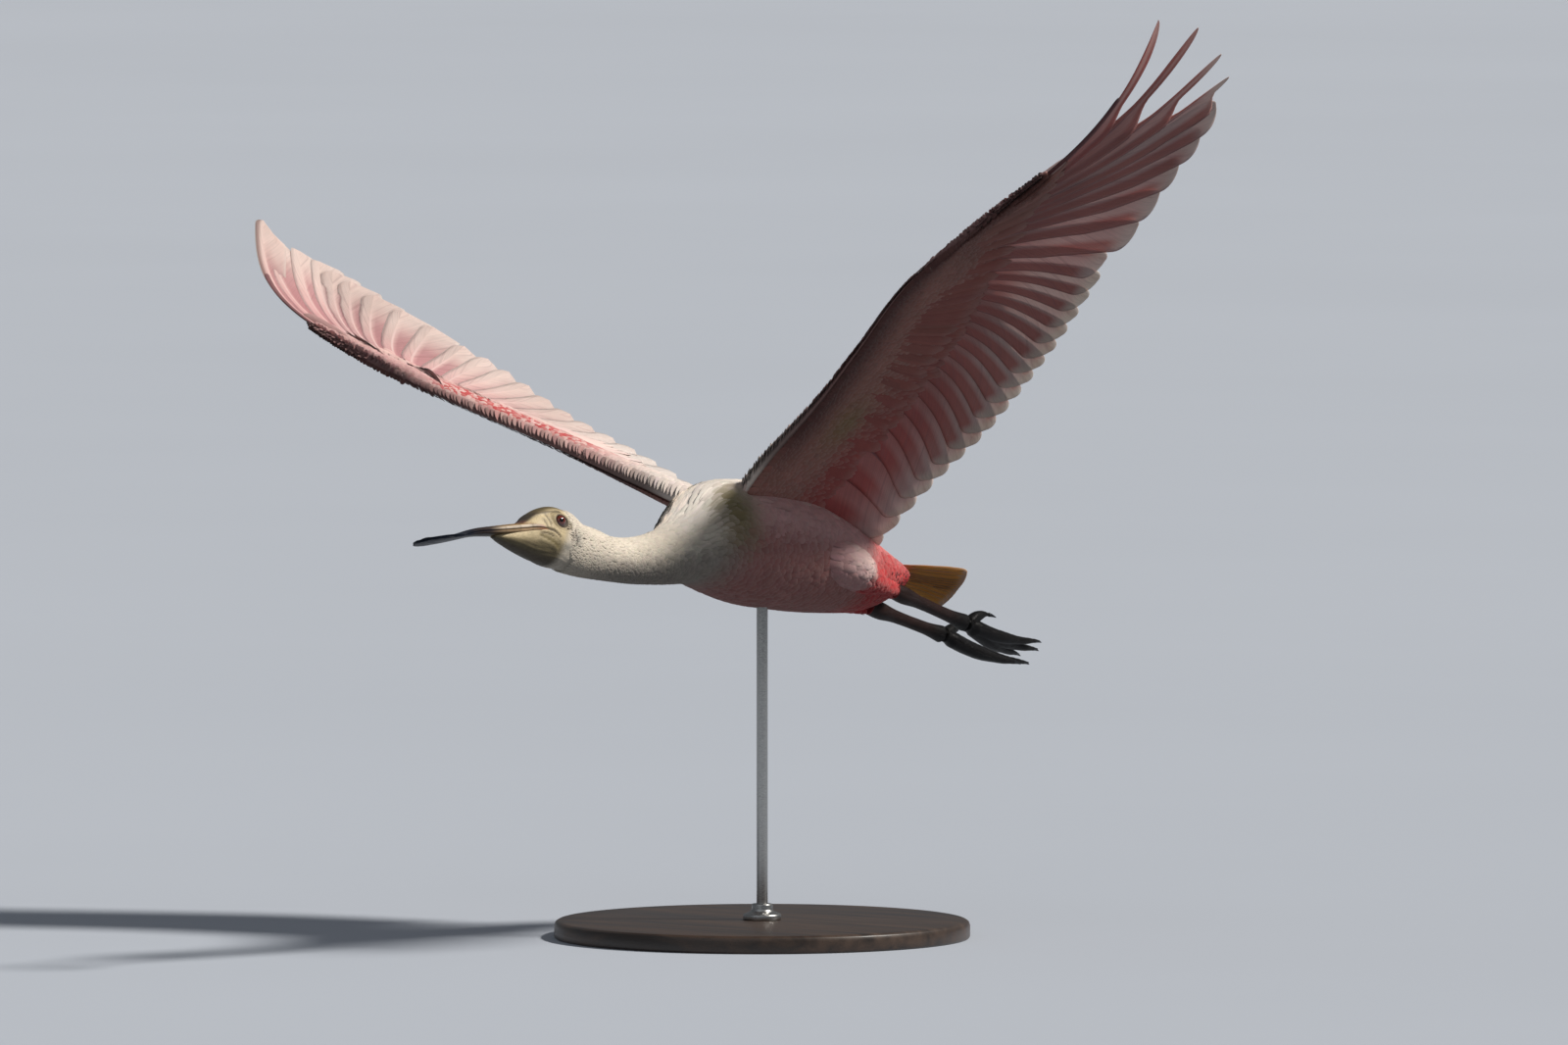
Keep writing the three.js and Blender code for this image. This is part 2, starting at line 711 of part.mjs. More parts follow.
function eyeGeometry(side, grow = 0) {
  const sphere = new THREE.SphereGeometry(EYE.radius + grow, EYE_SIDES, EYE_ROWS);
  const centre = place([EYE.ahead, bySide[side] * EYE.side, EYE.height]);
  return plain(sphere.translate(centre.x, centre.y, centre.z));
}

function headParts() {
  const clearance = ["left", "right"].reduce(
    (sum, side) => sum.add(solidOf(eyeGeometry(side, GAP))),
    solidOf(billHalf(true, GAP)).add(solidOf(billHalf(false, GAP))),
  );
  const head = solidOf(bodyLength(HEAD_FRONT, HEAD_END + GAP / 2, BODY_STEPS.head));
  addMesh(bird, "head", geometryOf(head.subtract(clearance)), COLOUR.skinBuff, 0.7);
  addMesh(bird, "bill_upper", billHalf(true), COLOUR.bill, 0.4);
  addMesh(bird, "bill_lower", billHalf(false), COLOUR.bill, 0.4);
  addMesh(bird, "eye_left", eyeGeometry("left"), COLOUR.eye, 0.1);
  addMesh(bird, "eye_right", eyeGeometry("right"), COLOUR.eye, 0.1);
}

function bodyParts() {
  const upper = bodyLength(HEAD_END - GAP / 2, NECK_JOINT + GAP / 2, BODY_STEPS.neckUpper);
  const lower = bodyLength(NECK_JOINT - GAP / 2, NECK_END + GAP / 2, BODY_STEPS.neckLower);
  const trunk = solidOf(bodyLength(...trunkLength)).subtract(rodHole);
  addMesh(bird, "neck_upper", upper, COLOUR.neckWhite, 0.9);
  addMesh(bird, "neck_lower", lower, COLOUR.neckWhite, 0.9);
  addMesh(bird, "trunk", geometryOf(trunk), COLOUR.palePink, 0.9);
}

// Tail: a narrow fan, swung and rolled about its root
function tailPart() {
  const [swing, roll] = [radians(TAIL.swing), radians(TAIL.roll)];
  const surface = (across, back, height) => {
    const along = back - TAIL.root;
    const aside = across * Math.cos(roll) * Math.cos(swing) + along * Math.sin(swing);
    const behind = TAIL.root + along * Math.cos(swing) - across * Math.sin(swing);
    const up = TAIL.rootHeight + TAIL.rise * (along / TAIL.length) + across * Math.sin(roll) + height;
    return place([-behind, aside, up]);
  };
  const feathers = Array.from({ length: TAIL.count }, (_, i) => {
    const u = (i / (TAIL.count - 1)) * 2 - 1;
    const angle = radians(TAIL.spread * u);
    const length = TAIL.length * (1 - 0.05 * u * u);
    const shaft = (t) => [
      TAIL.rootHalfWidth * u + length * t * Math.sin(angle),
      TAIL.root + length * t * Math.cos(angle),
    ];
    return { shaft, lift: () => 0 };
  });
  const slots = feathers.slice(1).map(() => TAIL_SLOT);
  const fan = featherFan(feathers, slots, TAIL_ROWS, surface, { outerHalf: 4.5, tipPower: 2.4, turn: 1 });
  addMesh(bird, "tail", geometryOf(solidOf(fan).subtract(trunkGrown)), COLOUR.ochre, 0.8);
}

// Legs. Gives back the thigh, grown by the clearance
function legParts(side) {
  const shape = LEG[side];
  const at = ([ahead, across, height]) => place([ahead, bySide[side] * across, height]);
  const thighPath = [shape.hip, shape.knee, shape.calf, shape.ankle].map(at);
  const thigh = (grow) => solidOf(limb(thighPath, THIGH_RADII, LEG_SIDES.thigh, LEG_STEPS.thigh, grow));
  const thighGrown = thigh(GAP);
  addMesh(bird, `thigh_${side}`, geometryOf(thigh(0).subtract(trunkGrown)), COLOUR.palePink, 0.9);

  const along = at(shape.toes).sub(at(shape.ankle)).normalize();
  const start = at(shape.ankle).addScaledVector(along, GAP);
  const end = at(shape.toes).addScaledVector(along, -GAP);
  const shankPath = [start, start.clone().lerp(end, 0.5), end];
  const shank = solidOf(limb(shankPath, SHANK_RADII, LEG_SIDES.shank, LEG_STEPS.shank));
  const shankCut = geometryOf(shank.subtract(thighGrown).subtract(trunkGrown));
  addMesh(bird, `shank_${side}`, shankCut, COLOUR.legRed, 0.5);

  const footMiddle = at(shape.toes).addScaledVector(along, FOOT_BALL.ahead);
  const ball = plain(new THREE.SphereGeometry(FOOT_BALL.radius, 8, 6)).scale(...FOOT_BALL.stretch);
  const toe = (tip, arch, radii, count) => {
    const points = [0, 0.35, 0.7, 1].map((t) => {
      const point = footMiddle.clone().lerp(at(tip), t);
      return point.setZ(point.z + arch * Math.sin(Math.PI * t));
    });
    return solidOf(limb(points, radii, LEG_SIDES.toe, count));
  };
  const foot = shape.toeTips.reduce(
    (sum, tip) => sum.add(toe(tip, -TOE_ARCH, TOE_RADII, LEG_STEPS.toe)),
    solidOf(ball.translate(footMiddle.x, footMiddle.y, footMiddle.z)),
  );
  const hindToe = toe(shape.hindToe, HIND_TOE_ARCH, HIND_TOE_RADII, LEG_STEPS.hindToe);
  const socketRadius = SHANK_RADII[SHANK_RADII.length - 1] + 2 * GAP;
  const socket = solidOf(limb([start, at(shape.toes)], [socketRadius, socketRadius], LEG_SIDES.shank, 1));
  addMesh(bird, `foot_${side}`, geometryOf(foot.add(hindToe).subtract(socket)), COLOUR.footBlack, 0.35);
  return thighGrown;
}

// Wings: arm, hand, and the bare parts of the two rows of flight feathers
function wingParts(side, thighGrown) {
  const surface = posedWing(side);
  const primaries = PRIMARY_LENGTH.map((length, i) => primary(i, side));
  const secondaries = Array.from({ length: SECONDARY_COUNT }, (_, j) => secondary(j, side));
  const covertsAt = covertLine(primaries, secondaries);
  const flesh = (from, to, count, grow) => solidOf(wingFlesh(surface, covertsAt, from, to, count, grow));
  const armSpan = [ARM_START, WRIST.span - GAP / 2, ARM_STEPS];
  const handSpan = [WRIST.span + GAP / 2, HAND_END, HAND_STEPS];
  const keepOut = flesh(...armSpan, GAP).add(flesh(...handSpan, GAP)).add(trunkGrown).add(thighGrown);
  const arm = flesh(...armSpan).subtract(trunkGrown).subtract(thighGrown);
  addMesh(bird, `wing_arm_${side}`, geometryOf(arm), COLOUR.palePink, 0.85);
  addMesh(bird, `wing_hand_${side}`, geometryOf(flesh(...handSpan)), COLOUR.palePink, 0.85);

  const barePrimaries = primaries.map((feather) => bareOf(feather, PRIMARY_COVERED - TUCKED_SHARE));
  const bareSecondaries = secondaries.map((feather) => bareOf(feather, SECONDARY_COVERED - TUCKED_SHARE));
  const arched = (span, chord, height) => surface(span, chord, camber(span, chord) + height);
  const { slots, edge } = WING_POSE[side];
  const primaryFan = featherFan(barePrimaries, slots, PRIMARY_ROWS, arched, {
    outerHalf: edge,
    finger: FINGER_HALF_WIDTH,
    tipPower: 2.2,
    turn: 1,
    beside: bareSecondaries[0],
  });
  const secondarySlots = secondaries.slice(1).map(() => SECONDARY_SLOT);
  const secondaryFan = featherFan(bareSecondaries, secondarySlots, SECONDARY_ROWS, arched, {
    outerHalf: 5,
    tipPower: 2.4,
    turn: -1,
    beside: barePrimaries[0],
  });
  const barePrimaryFan = solidOf(primaryFan).subtract(keepOut);
  const bareSecondaryFan = solidOf(secondaryFan).subtract(keepOut).subtract(withClearance(barePrimaryFan));
  addMesh(bird, `wing_primaries_${side}`, geometryOf(barePrimaryFan), COLOUR.rosePink, 0.8);
  addMesh(bird, `wing_secondaries_${side}`, geometryOf(bareSecondaryFan), COLOUR.carmine, 0.8);
}

// A solid together with copies of it moved by the clearance each way along the axes
function withClearance(solid) {
  const moves = [0, 1, 2].flatMap((axis) => [-GAP, GAP].map((move) => [0, 1, 2].map((k) => (k === axis ? move : 0))));
  return moves.reduce((sum, move) => sum.add(solid.translate(move)), solid);
}

headParts();
bodyParts();
tailPart();
wingParts("left", legParts("left"));
wingParts("right", legParts("right"));

// Stand
const stand = new THREE.Group();

function turned(profile, sides) {
  const lathe = new THREE.LatheGeometry(profile.map(([r, z]) => new THREE.Vector2(r, z)), sides);
  return facingOut(mergeVertices(plain(lathe.rotateX(Math.PI / 2)), WELD));
}

const disc = [
  [0, 0],
  [BASE_RADIUS - BASE_BEVEL / 2, 0],
  [BASE_RADIUS, BASE_BEVEL / 2],
  [BASE_RADIUS, BASE_THICKNESS - BASE_BEVEL],
  [BASE_RADIUS - BASE_BEVEL, BASE_THICKNESS],
  [0, BASE_THICKNESS],
];
const bore = ROD_RADIUS + GAP;
const collarTop = ROD_BOTTOM + COLLAR_HEIGHT;
const collar = [
  [bore, ROD_BOTTOM],
  [COLLAR_RADIUS, ROD_BOTTOM],
  [COLLAR_RADIUS, ROD_BOTTOM + COLLAR_RIM],
  [bore + COLLAR_WALL, collarTop],
  [bore, collarTop],
  [bore, ROD_BOTTOM],
];
addMesh(stand, "stand_base", turned(disc, BASE_SIDES), COLOUR.standWood, 0.5);
addMesh(stand, "stand_collar", turned(collar, COLLAR_SIDES), COLOUR.standSteel, 0.3, 1);
addMesh(stand, "stand_rod", rodGeometry(0), COLOUR.standSteel, 0.3, 1);

const group = new THREE.Group();
group.add(bird, stand);
export default group;
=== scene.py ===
"""Roseate spoonbill in flight: feathered skin, bill, eyes and flight feathers over the CAD frame.

Lengths in the tables are millimetres in the bird's own frame: +X its left side, +Y towards its
tail, +Z up, with the origin midway between the shoulder joints. world() takes them to metres in
the model's frame.
"""

import math

import bmesh
import bpy
import numpy as np
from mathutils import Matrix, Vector
from mathutils.kdtree import KDTree

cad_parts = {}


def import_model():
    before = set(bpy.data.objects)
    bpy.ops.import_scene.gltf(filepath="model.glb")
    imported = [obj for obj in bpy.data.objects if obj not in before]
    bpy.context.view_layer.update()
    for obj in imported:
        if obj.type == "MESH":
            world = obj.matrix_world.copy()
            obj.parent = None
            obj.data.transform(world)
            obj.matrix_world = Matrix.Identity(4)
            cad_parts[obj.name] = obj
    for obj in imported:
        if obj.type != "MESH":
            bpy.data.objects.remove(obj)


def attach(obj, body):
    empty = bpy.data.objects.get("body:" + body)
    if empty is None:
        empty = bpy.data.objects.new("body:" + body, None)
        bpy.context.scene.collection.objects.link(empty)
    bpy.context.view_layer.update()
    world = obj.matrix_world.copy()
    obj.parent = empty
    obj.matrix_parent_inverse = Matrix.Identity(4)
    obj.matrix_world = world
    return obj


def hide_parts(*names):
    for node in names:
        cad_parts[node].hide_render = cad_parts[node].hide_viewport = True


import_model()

bl_info = {
    "name": "Roseate spoonbill in flight",
    "version": (1, 0, 0),
    "blender": (4, 5, 0),
    "location": "3D View > Sidebar > Spoonbill",
    "description": "Life-size roseate spoonbill in flight, on a plain display stand",
    "category": "Object",
}

# How the bird is held, as in the CAD part. The heading is the camera azimuth of a fit to points
# read off the photo, and the bank follows from its camera elevation
BANK_ANGLE = math.radians(21)
BANK_HEADING = math.radians(38.95)
SHOULDER_HEIGHT = 392
BALANCE_POINT = (0, 52, -38)

# Head, neck and trunk: distance ahead of the shoulders, upper line, lower line, half width
BODY_SECTIONS = [
    (322, -111, -114.5, 3.5),
    (310, -105, -116.5, 8),
    (298, -97, -118.5, 11),
    (286, -88.5, -120, 13.5),
    (274, -80, -121, 16),
    (261, -72.5, -122, 18.2),
    (249, -68.5, -122.5, 19.6),
    (234, -67, -122.5, 20),
    (219, -67, -122, 19.5),
    (204, -69.5, -121, 18.6),
    (188, -73.5, -119, 18),
    (172, -76, -116.5, 18),
    (150, -73, -113, 18.6),
    (127, -66, -109, 20.5),
    (100, -54, -103, 24),
    (78, -40, -97.5, 29.5),
    (62, -24, -93, 36),
    (48, -6, -89, 42),
    (34, 6, -87, 47),
    (16, 13, -87.5, 51),
    (-10, 18, -88, 54.5),
    (-40, 20.5, -87, 56),
    (-75, 20.5, -82, 55.5),
    (-112, 17.5, -76, 52),
    (-150, 12, -68, 45),
    (-186, 6, -59, 36),
    (-212, 1.5, -47, 27),
    (-232, -1.5, -33, 19),
    (-246, -4.5, -20, 11),
]
BODY_FULLNESS = 2.15
TRUNK_END = -246

# Bill: distance ahead, height of the mouth line, half width, rise above it, depth below it
BILL_SECTIONS = [
    (266, -95.6, 17, 3.8, 4.4),
    (273, -96.2, 16.6, 4.8, 5),
    (281, -97.6, 15.2, 5.4, 5.4),
    (292, -100.6, 13, 6, 5.4),
    (308, -105, 10.6, 5.6, 4.6),
    (327, -110.2, 8.8, 4.7, 3.9),
    (345, -115.2, 8, 4, 3.4),
    (357, -119.4, 8.1, 3.5, 3.1),
    (366, -123.2, 9.4, 3.2, 2.8),
    (375, -127, 14, 3, 2.6),
    (384.5, -130.8, 19.4, 2.8, 2.4),
    (395, -134.4, 22.6, 2.6, 2.3),
    (405, -137.2, 21, 2.4, 2.1),
    (412, -138.8, 16, 2, 1.8),
    (417, -139.8, 8.6, 1.6, 1.4),
]
BILL_RIM = 0.8

EYE = {"ahead": 249.5, "side": 14.6, "height": -85.0, "radius": 6.4}

# Thigh, shank and foot; points are (ahead, side, height)
LEG = {
    "left": {
        "thigh": [(-62, 34, -38), (-122, 42, -41), (-160, 32, -41), (-212, 19, -37)],
        "toes": (-316, 18, -42),
        "tips": [(-410, 7, -47), (-427, 15, -40), (-416, 26, -37)],
        "hind": (-352, 21, -27),
    },
    "right": {
        "thigh": [(-62, 34, -36), (-124, 41, -38), (-168, 30, -42), (-226, 20, -41)],
        "toes": (-328, 18, -43),
        "tips": [(-428, 7, -48), (-452, 15, -41), (-428, 26, -38)],
        "hind": (-362, 19, -30),
    },
}
THIGH_RADII = [13, 19, 20, 16, 11, 8]
SHANK_RADII = [7.4, 8.2, 6.4, 5.8, 5.8, 6.2, 8]
TOE_RADII = [6, 5.2, 4.6, 4.4, 3.6, 3, 0.8]
HIND_TOE_RADII = [4.6, 3.8, 3.2, 0.7]
TOE_ARCH = 5
HIND_TOE_ARCH = 4

# Wing in the flat: span outwards from the shoulder joint, chord backwards from it. The leading
# edge was changed from results of the fit
SHOULDER_HALF_SPREAD = 45
LEADING_EDGE = [
    (-30, -20),
    (20, -25.5),
    (95, -25.5),
    (160, -40),
    (215, -60),
    (247, -69),
    (300, -74),
    (370, -74.5),
    (430, -69),
]
ELBOW = (112, 12)
WRIST = (247, -77)
ARM_START = -28
HAND_END = 410
ARM_DEPTH = [(-30, 15), (30, 13), (110, 9), (200, 6), (247, 5.2), (330, 3.4), (412, 1.2)]
UNDERSIDE_SHARE = 0.75
COVERT_EDGE = 0.95
WING_CAMBER = 9
# Ten flight feathers of the hand, innermost first. The angles, the first four lengths and the
# last are rounded results of the fit; the other five lengths are changed results of the fit
PRIMARY_LENGTH = [190, 207, 217, 229, 245, 257, 268, 262, 252, 225]
PRIMARY_ANGLE = [32.3, 40.4, 47.4, 53.8, 58.5, 62.2, 65.1, 71.1, 81.1, 89.2]
FINGER_HALF_WIDTH = 5.6
SECONDARY_COUNT = 17
# Place along the row, span and chord of the tips. The spans were chosen, and the chords are the
# fit's hind edge there, to a millimetre. Bow and roots were chosen to follow a second fit
SECONDARY_TIPS = [
    (0, 338, 101),
    (0.15, 287, 121),
    (0.3, 236, 141),
    (0.45, 185, 160),
    (0.6, 134, 175),
    (0.75, 83, 178),
    (1, -2, 179),
]
SECONDARY_BOW = (17, 38, -49)
SECONDARY_ROOTS = {"first": 0.1, "spread": 0.8, "crowding": 1.1, "power": 6}
BODY_END = (-5, 22)
PRIMARY_COVERED = 0.27
SECONDARY_COVERED = 0.42
# How each wing is raised, twisted and bent: degrees at the shoulder, wrist and tip, and
# millimetres of curl and bow. Rounded results of the fit are yaw, rise, twist and the arm's curl
# of both wings, the left wing's curl and second bow, and the right wing's fan. The rest was set
# one by one
WING_POSE = {
    "left": {
        "yaw": -3.3,
        "rise": (40.1, 25.2, 39.7),
        "twist": (-3.1, 1.6, -9.6),
        "curl": (-3, -0.6, 34.9),
        "arm_curl": -3,
        "fan": (0, 0),
        "bow": (-12, 4.2),
        "slots": [0.9, 0.9, 0.9, 0.9, 0.9, 0.9, 0.72, 0.58, 0.52],
        "edge": 4,
        "tilt": 0.025,
        "tip_from": 0.92,
    },
    "right": {
        "yaw": 7.2,
        "rise": (29.7, 32.7, 44.8),
        "twist": (6.5, -1, -3.3),
        "curl": (31, -50, 53),
        "arm_curl": 19.6,
        "fan": (-5.3, -12.2),
        "bow": (-12, -19),
        "slots": [0.9] * 9,
        "edge": 9,
        "tilt": 0.02,
        "tip_from": 0.98,
    },
}
# A rounded result of the fit too
CURL_POWER = 3.4
ARM_CURL_SHARE = 0.35
SPAR_STEP = 5
SPAR_LENGTH = 720
TAIL = {
    "count": 12,
    "root": 214,
    "height": -13,
    "half_width": 7,
    "length": 110,
    "rise": 6.6,
    "spread": math.radians(6.6),
    "swing": math.radians(4),
    "roll": math.radians(37),
}

SIDES = {"left": 1, "right": -1}


def turn_about(axis, angle):
    """Matrix that turns a point about a level axis."""
    x, y = axis
    c, s = math.cos(angle), math.sin(angle)
    return np.array([
        [c + x * x * (1 - c), x * y * (1 - c), y * s],
        [x * y * (1 - c), c + y * y * (1 - c), -x * s],
        [-y * s, x * s, c],
    ])


BIRD_TURN = turn_about((math.cos(BANK_HEADING), math.sin(BANK_HEADING)), -BANK_ANGLE)
BIRD_PLACE = -BIRD_TURN @ np.array(BALANCE_POINT, float)
BIRD_PLACE[2] = SHOULDER_HEIGHT


def world(points):
    """Millimetres in the bird's frame to metres in the model's frame."""
    return (np.asarray(points, float) @ BIRD_TURN.T + BIRD_PLACE) * 0.001


def turned(directions):
    return np.asarray(directions, float) @ BIRD_TURN.T


def place(ahead, side, height):
    """Point from its distance ahead, to the left and up."""
    return np.stack(np.broadcast_arrays(side, -np.asarray(ahead, float), height), axis=-1)


def smoothstep(x, low, high):
    t = np.clip((np.asarray(x, float) - low) / (high - low), 0, 1)
    return t * t * (3 - 2 * t)


def mix(a, b, share):
    return a + (b - a) * share


def unit(vectors):
    return vectors / np.maximum(np.linalg.norm(vectors, axis=-1, keepdims=True), 1e-12)


def smooth_table(rows):
    """Smooth curve through a table whose first column steps one way; gives the other columns."""
    table = np.array(sorted(rows), float)
    x, y = table[:, 0], table[:, 1:]
    slopes = np.empty_like(y)
    slopes[1:-1] = (y[2:] - y[:-2]) / (x[2:] - x[:-2])[:, None]
    slopes[0] = (y[1] - y[0]) / (x[1] - x[0])
    slopes[-1] = (y[-1] - y[-2]) / (x[-1] - x[-2])

    def at(value):
        value = np.asarray(value, float)
        k = np.clip(np.searchsorted(x, value) - 1, 0, len(x) - 2)
        h = (x[k + 1] - x[k])[..., None]
        t = np.clip((value[..., None] - x[k][..., None]) / h, 0, 1)
        ends = (2 * t**3 - 3 * t**2 + 1) * y[k] + (3 * t**2 - 2 * t**3) * y[k + 1]
        found = ends + (t**3 - 2 * t**2 + t) * h * slopes[k] + (t**3 - t**2) * h * slopes[k + 1]
        return np.moveaxis(found, -1, 0)

    return at


body_at = smooth_table(BODY_SECTIONS)
bill_at = smooth_table(BILL_SECTIONS)
depth_at = smooth_table(ARM_DEPTH)
leading_table = smooth_table(LEADING_EDGE)
secondary_tip_at = smooth_table(SECONDARY_TIPS)


def leading_at(span):
    return leading_table(span)[0]


def hollow_at(ahead, turn):
    """How far forehead and nape lie under the plain outline."""
    above = smoothstep(np.sin(turn), 0.25, 0.8)
    return above * (1.8 * np.exp(-((ahead - 287) / 8) ** 2) + 4.6 * np.exp(-((ahead - 208) / 15) ** 2))


def body_point(ahead, turn, depth=0.0):
    """Point of the body's outline; turn is 0 at the left side and a quarter turn on the back."""
    top, bottom, half_width = body_at(ahead)
    power = 2 / BODY_FULLNESS
    depth = depth + hollow_at(ahead, turn)
    c, s = np.cos(turn), np.sin(turn)
    across = np.sign(c) * np.abs(c) ** power * np.maximum(half_width - depth, 0.5)
    half_height = np.maximum((top - bottom) / 2 - depth, 0.5)
    up = (top + bottom) / 2 + np.sign(s) * np.abs(s) ** power * half_height
    return place(ahead, across, up)


def posed_wing(side):
    """Surface of a raised, twisted and bent wing, as a function of span, chord and height."""
    pose = WING_POSE[side]

    def blend(s, values):
        root, wrist, tip = values
        return root + (wrist - root) * smoothstep(s, 0, 260) + (tip - wrist) * smoothstep(s, 230, 620)

    stations = np.arange(0, SPAR_LENGTH + SPAR_STEP, SPAR_STEP, float)
    rises = np.radians(blend(stations, pose["rise"]))
    middle = (rises[1:] + rises[:-1]) / 2
    out = np.concatenate([[0], np.cumsum(SPAR_STEP * np.cos(middle))])
    up = np.concatenate([[0], np.cumsum(SPAR_STEP * np.sin(middle))])
    root_rise = math.radians(pose["rise"][0])
    yaw = math.radians(pose["yaw"])

    def surface(span, chord, height):
        span, chord, height = np.broadcast_arrays(span, chord, height)
        s = span * math.cos(yaw) + chord * math.sin(yaw)
        c = chord * math.cos(yaw) - span * math.sin(yaw)
        spar_out = np.where(s <= 0, s * math.cos(root_rise), np.interp(s, stations, out))
        spar_up = np.where(s <= 0, s * math.sin(root_rise), np.interp(s, stations, up))
        rise = np.radians(blend(s, pose["rise"]))
        twist = np.radians(blend(s, pose["twist"]))
        back = c * np.cos(twist) + height * np.sin(twist)
        over = height * np.cos(twist) - c * np.sin(twist)
        outwards = SHOULDER_HALF_SPREAD + spar_out - over * np.sin(rise)
        return place(-back, SIDES[side] * outwards, spar_up + over * np.cos(rise))

    return surface


def camber(span, chord):
    """The wing arches over its bones and falls away towards the hind edge."""
    front = leading_at(np.clip(span, -30, 430))
    x = np.clip((chord - front) / 200, 0, 1)
    return WING_CAMBER * (np.sin(np.pi * np.sqrt(x)) - 0.25) * (1 - smoothstep(span, 300, 480))


def curling(tip_lift):
    """Lift of a flight feather over the wing's surface, growing towards its tip."""

    def lift(t):
        return tip_lift * np.maximum(t, 0) ** CURL_POWER

    return lift


def primary(i, side):
    """Shaft and lift of a flight feather of the hand, as functions of the share of its length."""
    u = i / (len(PRIMARY_LENGTH) - 1)
    fan, curl, bow = (WING_POSE[side][key] for key in ("fan", "curl", "bow"))
    angle = math.radians(PRIMARY_ANGLE[i] + fan[0] * u + fan[1] * u * u)
    sin, cos = math.sin(angle), math.cos(angle)
    root = (WRIST[0] + 10 + 95 * u, WRIST[1] + 4 + 8 * u)
    bend = bow[0] * (1 - u) + bow[1] * u**3
    tip_lift = curl[0] + curl[1] * u * u + curl[2] * u**5

    def shaft(t):
        along, aside = PRIMARY_LENGTH[i] * t, bend * np.sin(np.pi * t)
        return np.stack([root[0] + along * sin - aside * cos, root[1] + along * cos + aside * sin], -1)

    return shaft, curling(tip_lift)


def secondary(j, side):
    """Shaft and lift of a flight feather of the arm."""
    v = j / (SECONDARY_COUNT - 1)
    roots = SECONDARY_ROOTS
    w = roots["first"] + roots["spread"] * v + roots["crowding"] * v ** roots["power"]
    start, end, share = (WRIST[0], WRIST[1] + 5), ELBOW, w
    if w > 1:
        start, end, share = ELBOW, BODY_END, w - 1
    root = np.array([mix(start[k], end[k], share) for k in (0, 1)])
    reach = secondary_tip_at(np.float64(v)) - root
    length = float(np.linalg.norm(reach))
    sin, cos = reach / length
    bend = sum(term * v**power for power, term in enumerate(SECONDARY_BOW))
    curl, arm_curl = WING_POSE[side]["curl"], WING_POSE[side]["arm_curl"]
    tip_lift = mix(curl[0], arm_curl, smoothstep(v, 0, ARM_CURL_SHARE))

    def shaft(t):
        along, aside = length * t, bend * np.sin(np.pi * t)
        return np.stack([root[0] + along * sin + aside * cos, root[1] + along * cos - aside * sin], -1)

    return shaft, curling(tip_lift)


def covert_line(side):
    """Hind edge of the coverts across the wing: chord and lift, as a function of span."""
    rows = []
    for feather, share in [(secondary(j, side), SECONDARY_COVERED) for j in range(SECONDARY_COUNT)] + [
        (primary(i, side), PRIMARY_COVERED) for i in range(len(PRIMARY_LENGTH))
    ]:
        shaft, lift = feather
        rows.append((*shaft(share), lift(share)))
    rows.sort()
    kept = [row for k, row in enumerate(rows) if k == 0 or row[0] - rows[k - 1][0] > 4]
    return smooth_table(kept)


def aerofoil(x):
    x = np.clip(x, 0, 1)
    return 2 * (1.48 * np.sqrt(x) - 0.63 * x - 1.76 * x * x + 1.42 * x**3 - 0.51 * x**4)


class Wing:
    """One wing's surfaces and feathers."""

    def __init__(self, side):
        self.side = side
        self.surface = posed_wing(side)
        self.coverts = covert_line(side)
        self.primaries = [primary(i, side) for i in range(len(PRIMARY_LENGTH))]
        self.secondaries = [secondary(j, side) for j in range(SECONDARY_COUNT)]

    def flesh(self, span, x, layer, depth=0.0):
        """Point of the fleshy wing at a share x of its chord; layer is 1 above and -1 below."""
        front = leading_at(np.clip(span, -30, 430))
        hind, hind_lift = self.coverts(span)
        chord = mix(front + depth, hind, x)
        height = camber(span, chord) + hind_lift * np.minimum(x, 1) ** 3
        thick = depth_at(span)[0] * aerofoil(x) + COVERT_EDGE
        thick = np.maximum(thick * np.where(layer > 0, 1, UNDERSIDE_SHARE) - depth, 0.3)
        return self.surface(span, chord, height + layer * thick)

    def sheet(self, flat, height):
        """Point of the thin feathered wing at (span, chord)."""
        span, chord = flat[..., 0], flat[..., 1]
        return self.surface(span, chord, camber(span, chord) + height)


WINGS = {side: Wing(side) for side in SIDES}


# Meshes and the grids that they are made from
def ring_faces(rows, count, closed=True):
    """Quads between successive rings of equal count."""
    span = count if closed else count - 1
    r, i = np.meshgrid(np.arange(rows - 1), np.arange(span), indexing="ij")
    j = (i + 1) % count
    a, b = r * count + i, r * count + j
    return np.stack([a, b, b + count, a + count], axis=-1).reshape(-1, 4).tolist()


def tube(rings):
    """Points and faces of a closed tube through rings, each end drawn to a pole."""
    rows, count = rings.shape[:2]
    points = np.concatenate([rings.reshape(-1, 3), rings[0].mean(0)[None], rings[-1].mean(0)[None]])
    faces = ring_faces(rows, count)
    first, last = rows * count, rows * count + 1
    for i in range(count):
        j = (i + 1) % count
        faces.append([j, i, first])
        faces.append([(rows - 1) * count + i, (rows - 1) * count + j, last])
    return points, faces


def face_outwards(mesh):
    work = bmesh.new()
    work.from_mesh(mesh)
    bmesh.ops.recalc_face_normals(work, faces=work.faces)
    work.to_mesh(mesh)
    work.free()


def mesh_object(name, points, faces):
    """Object with smooth, outward faces; points are in the model's frame."""
    mesh = bpy.data.meshes.new(name)
    mesh.from_pydata(np.asarray(points).tolist(), [], faces)
    face_outwards(mesh)
    mesh.shade_smooth()
    piece = bpy.data.objects.new(name, mesh)
    bpy.context.scene.collection.objects.link(piece)
    return piece


def merged(parts):
    """Several lots of points and faces as one."""
    points, faces, start = [], [], 0
    for part_points, part_faces in parts:
        points.append(part_points)
        faces.extend([[k + start for k in face] for face in part_faces])
        start += len(part_points)
    return np.concatenate(points), faces


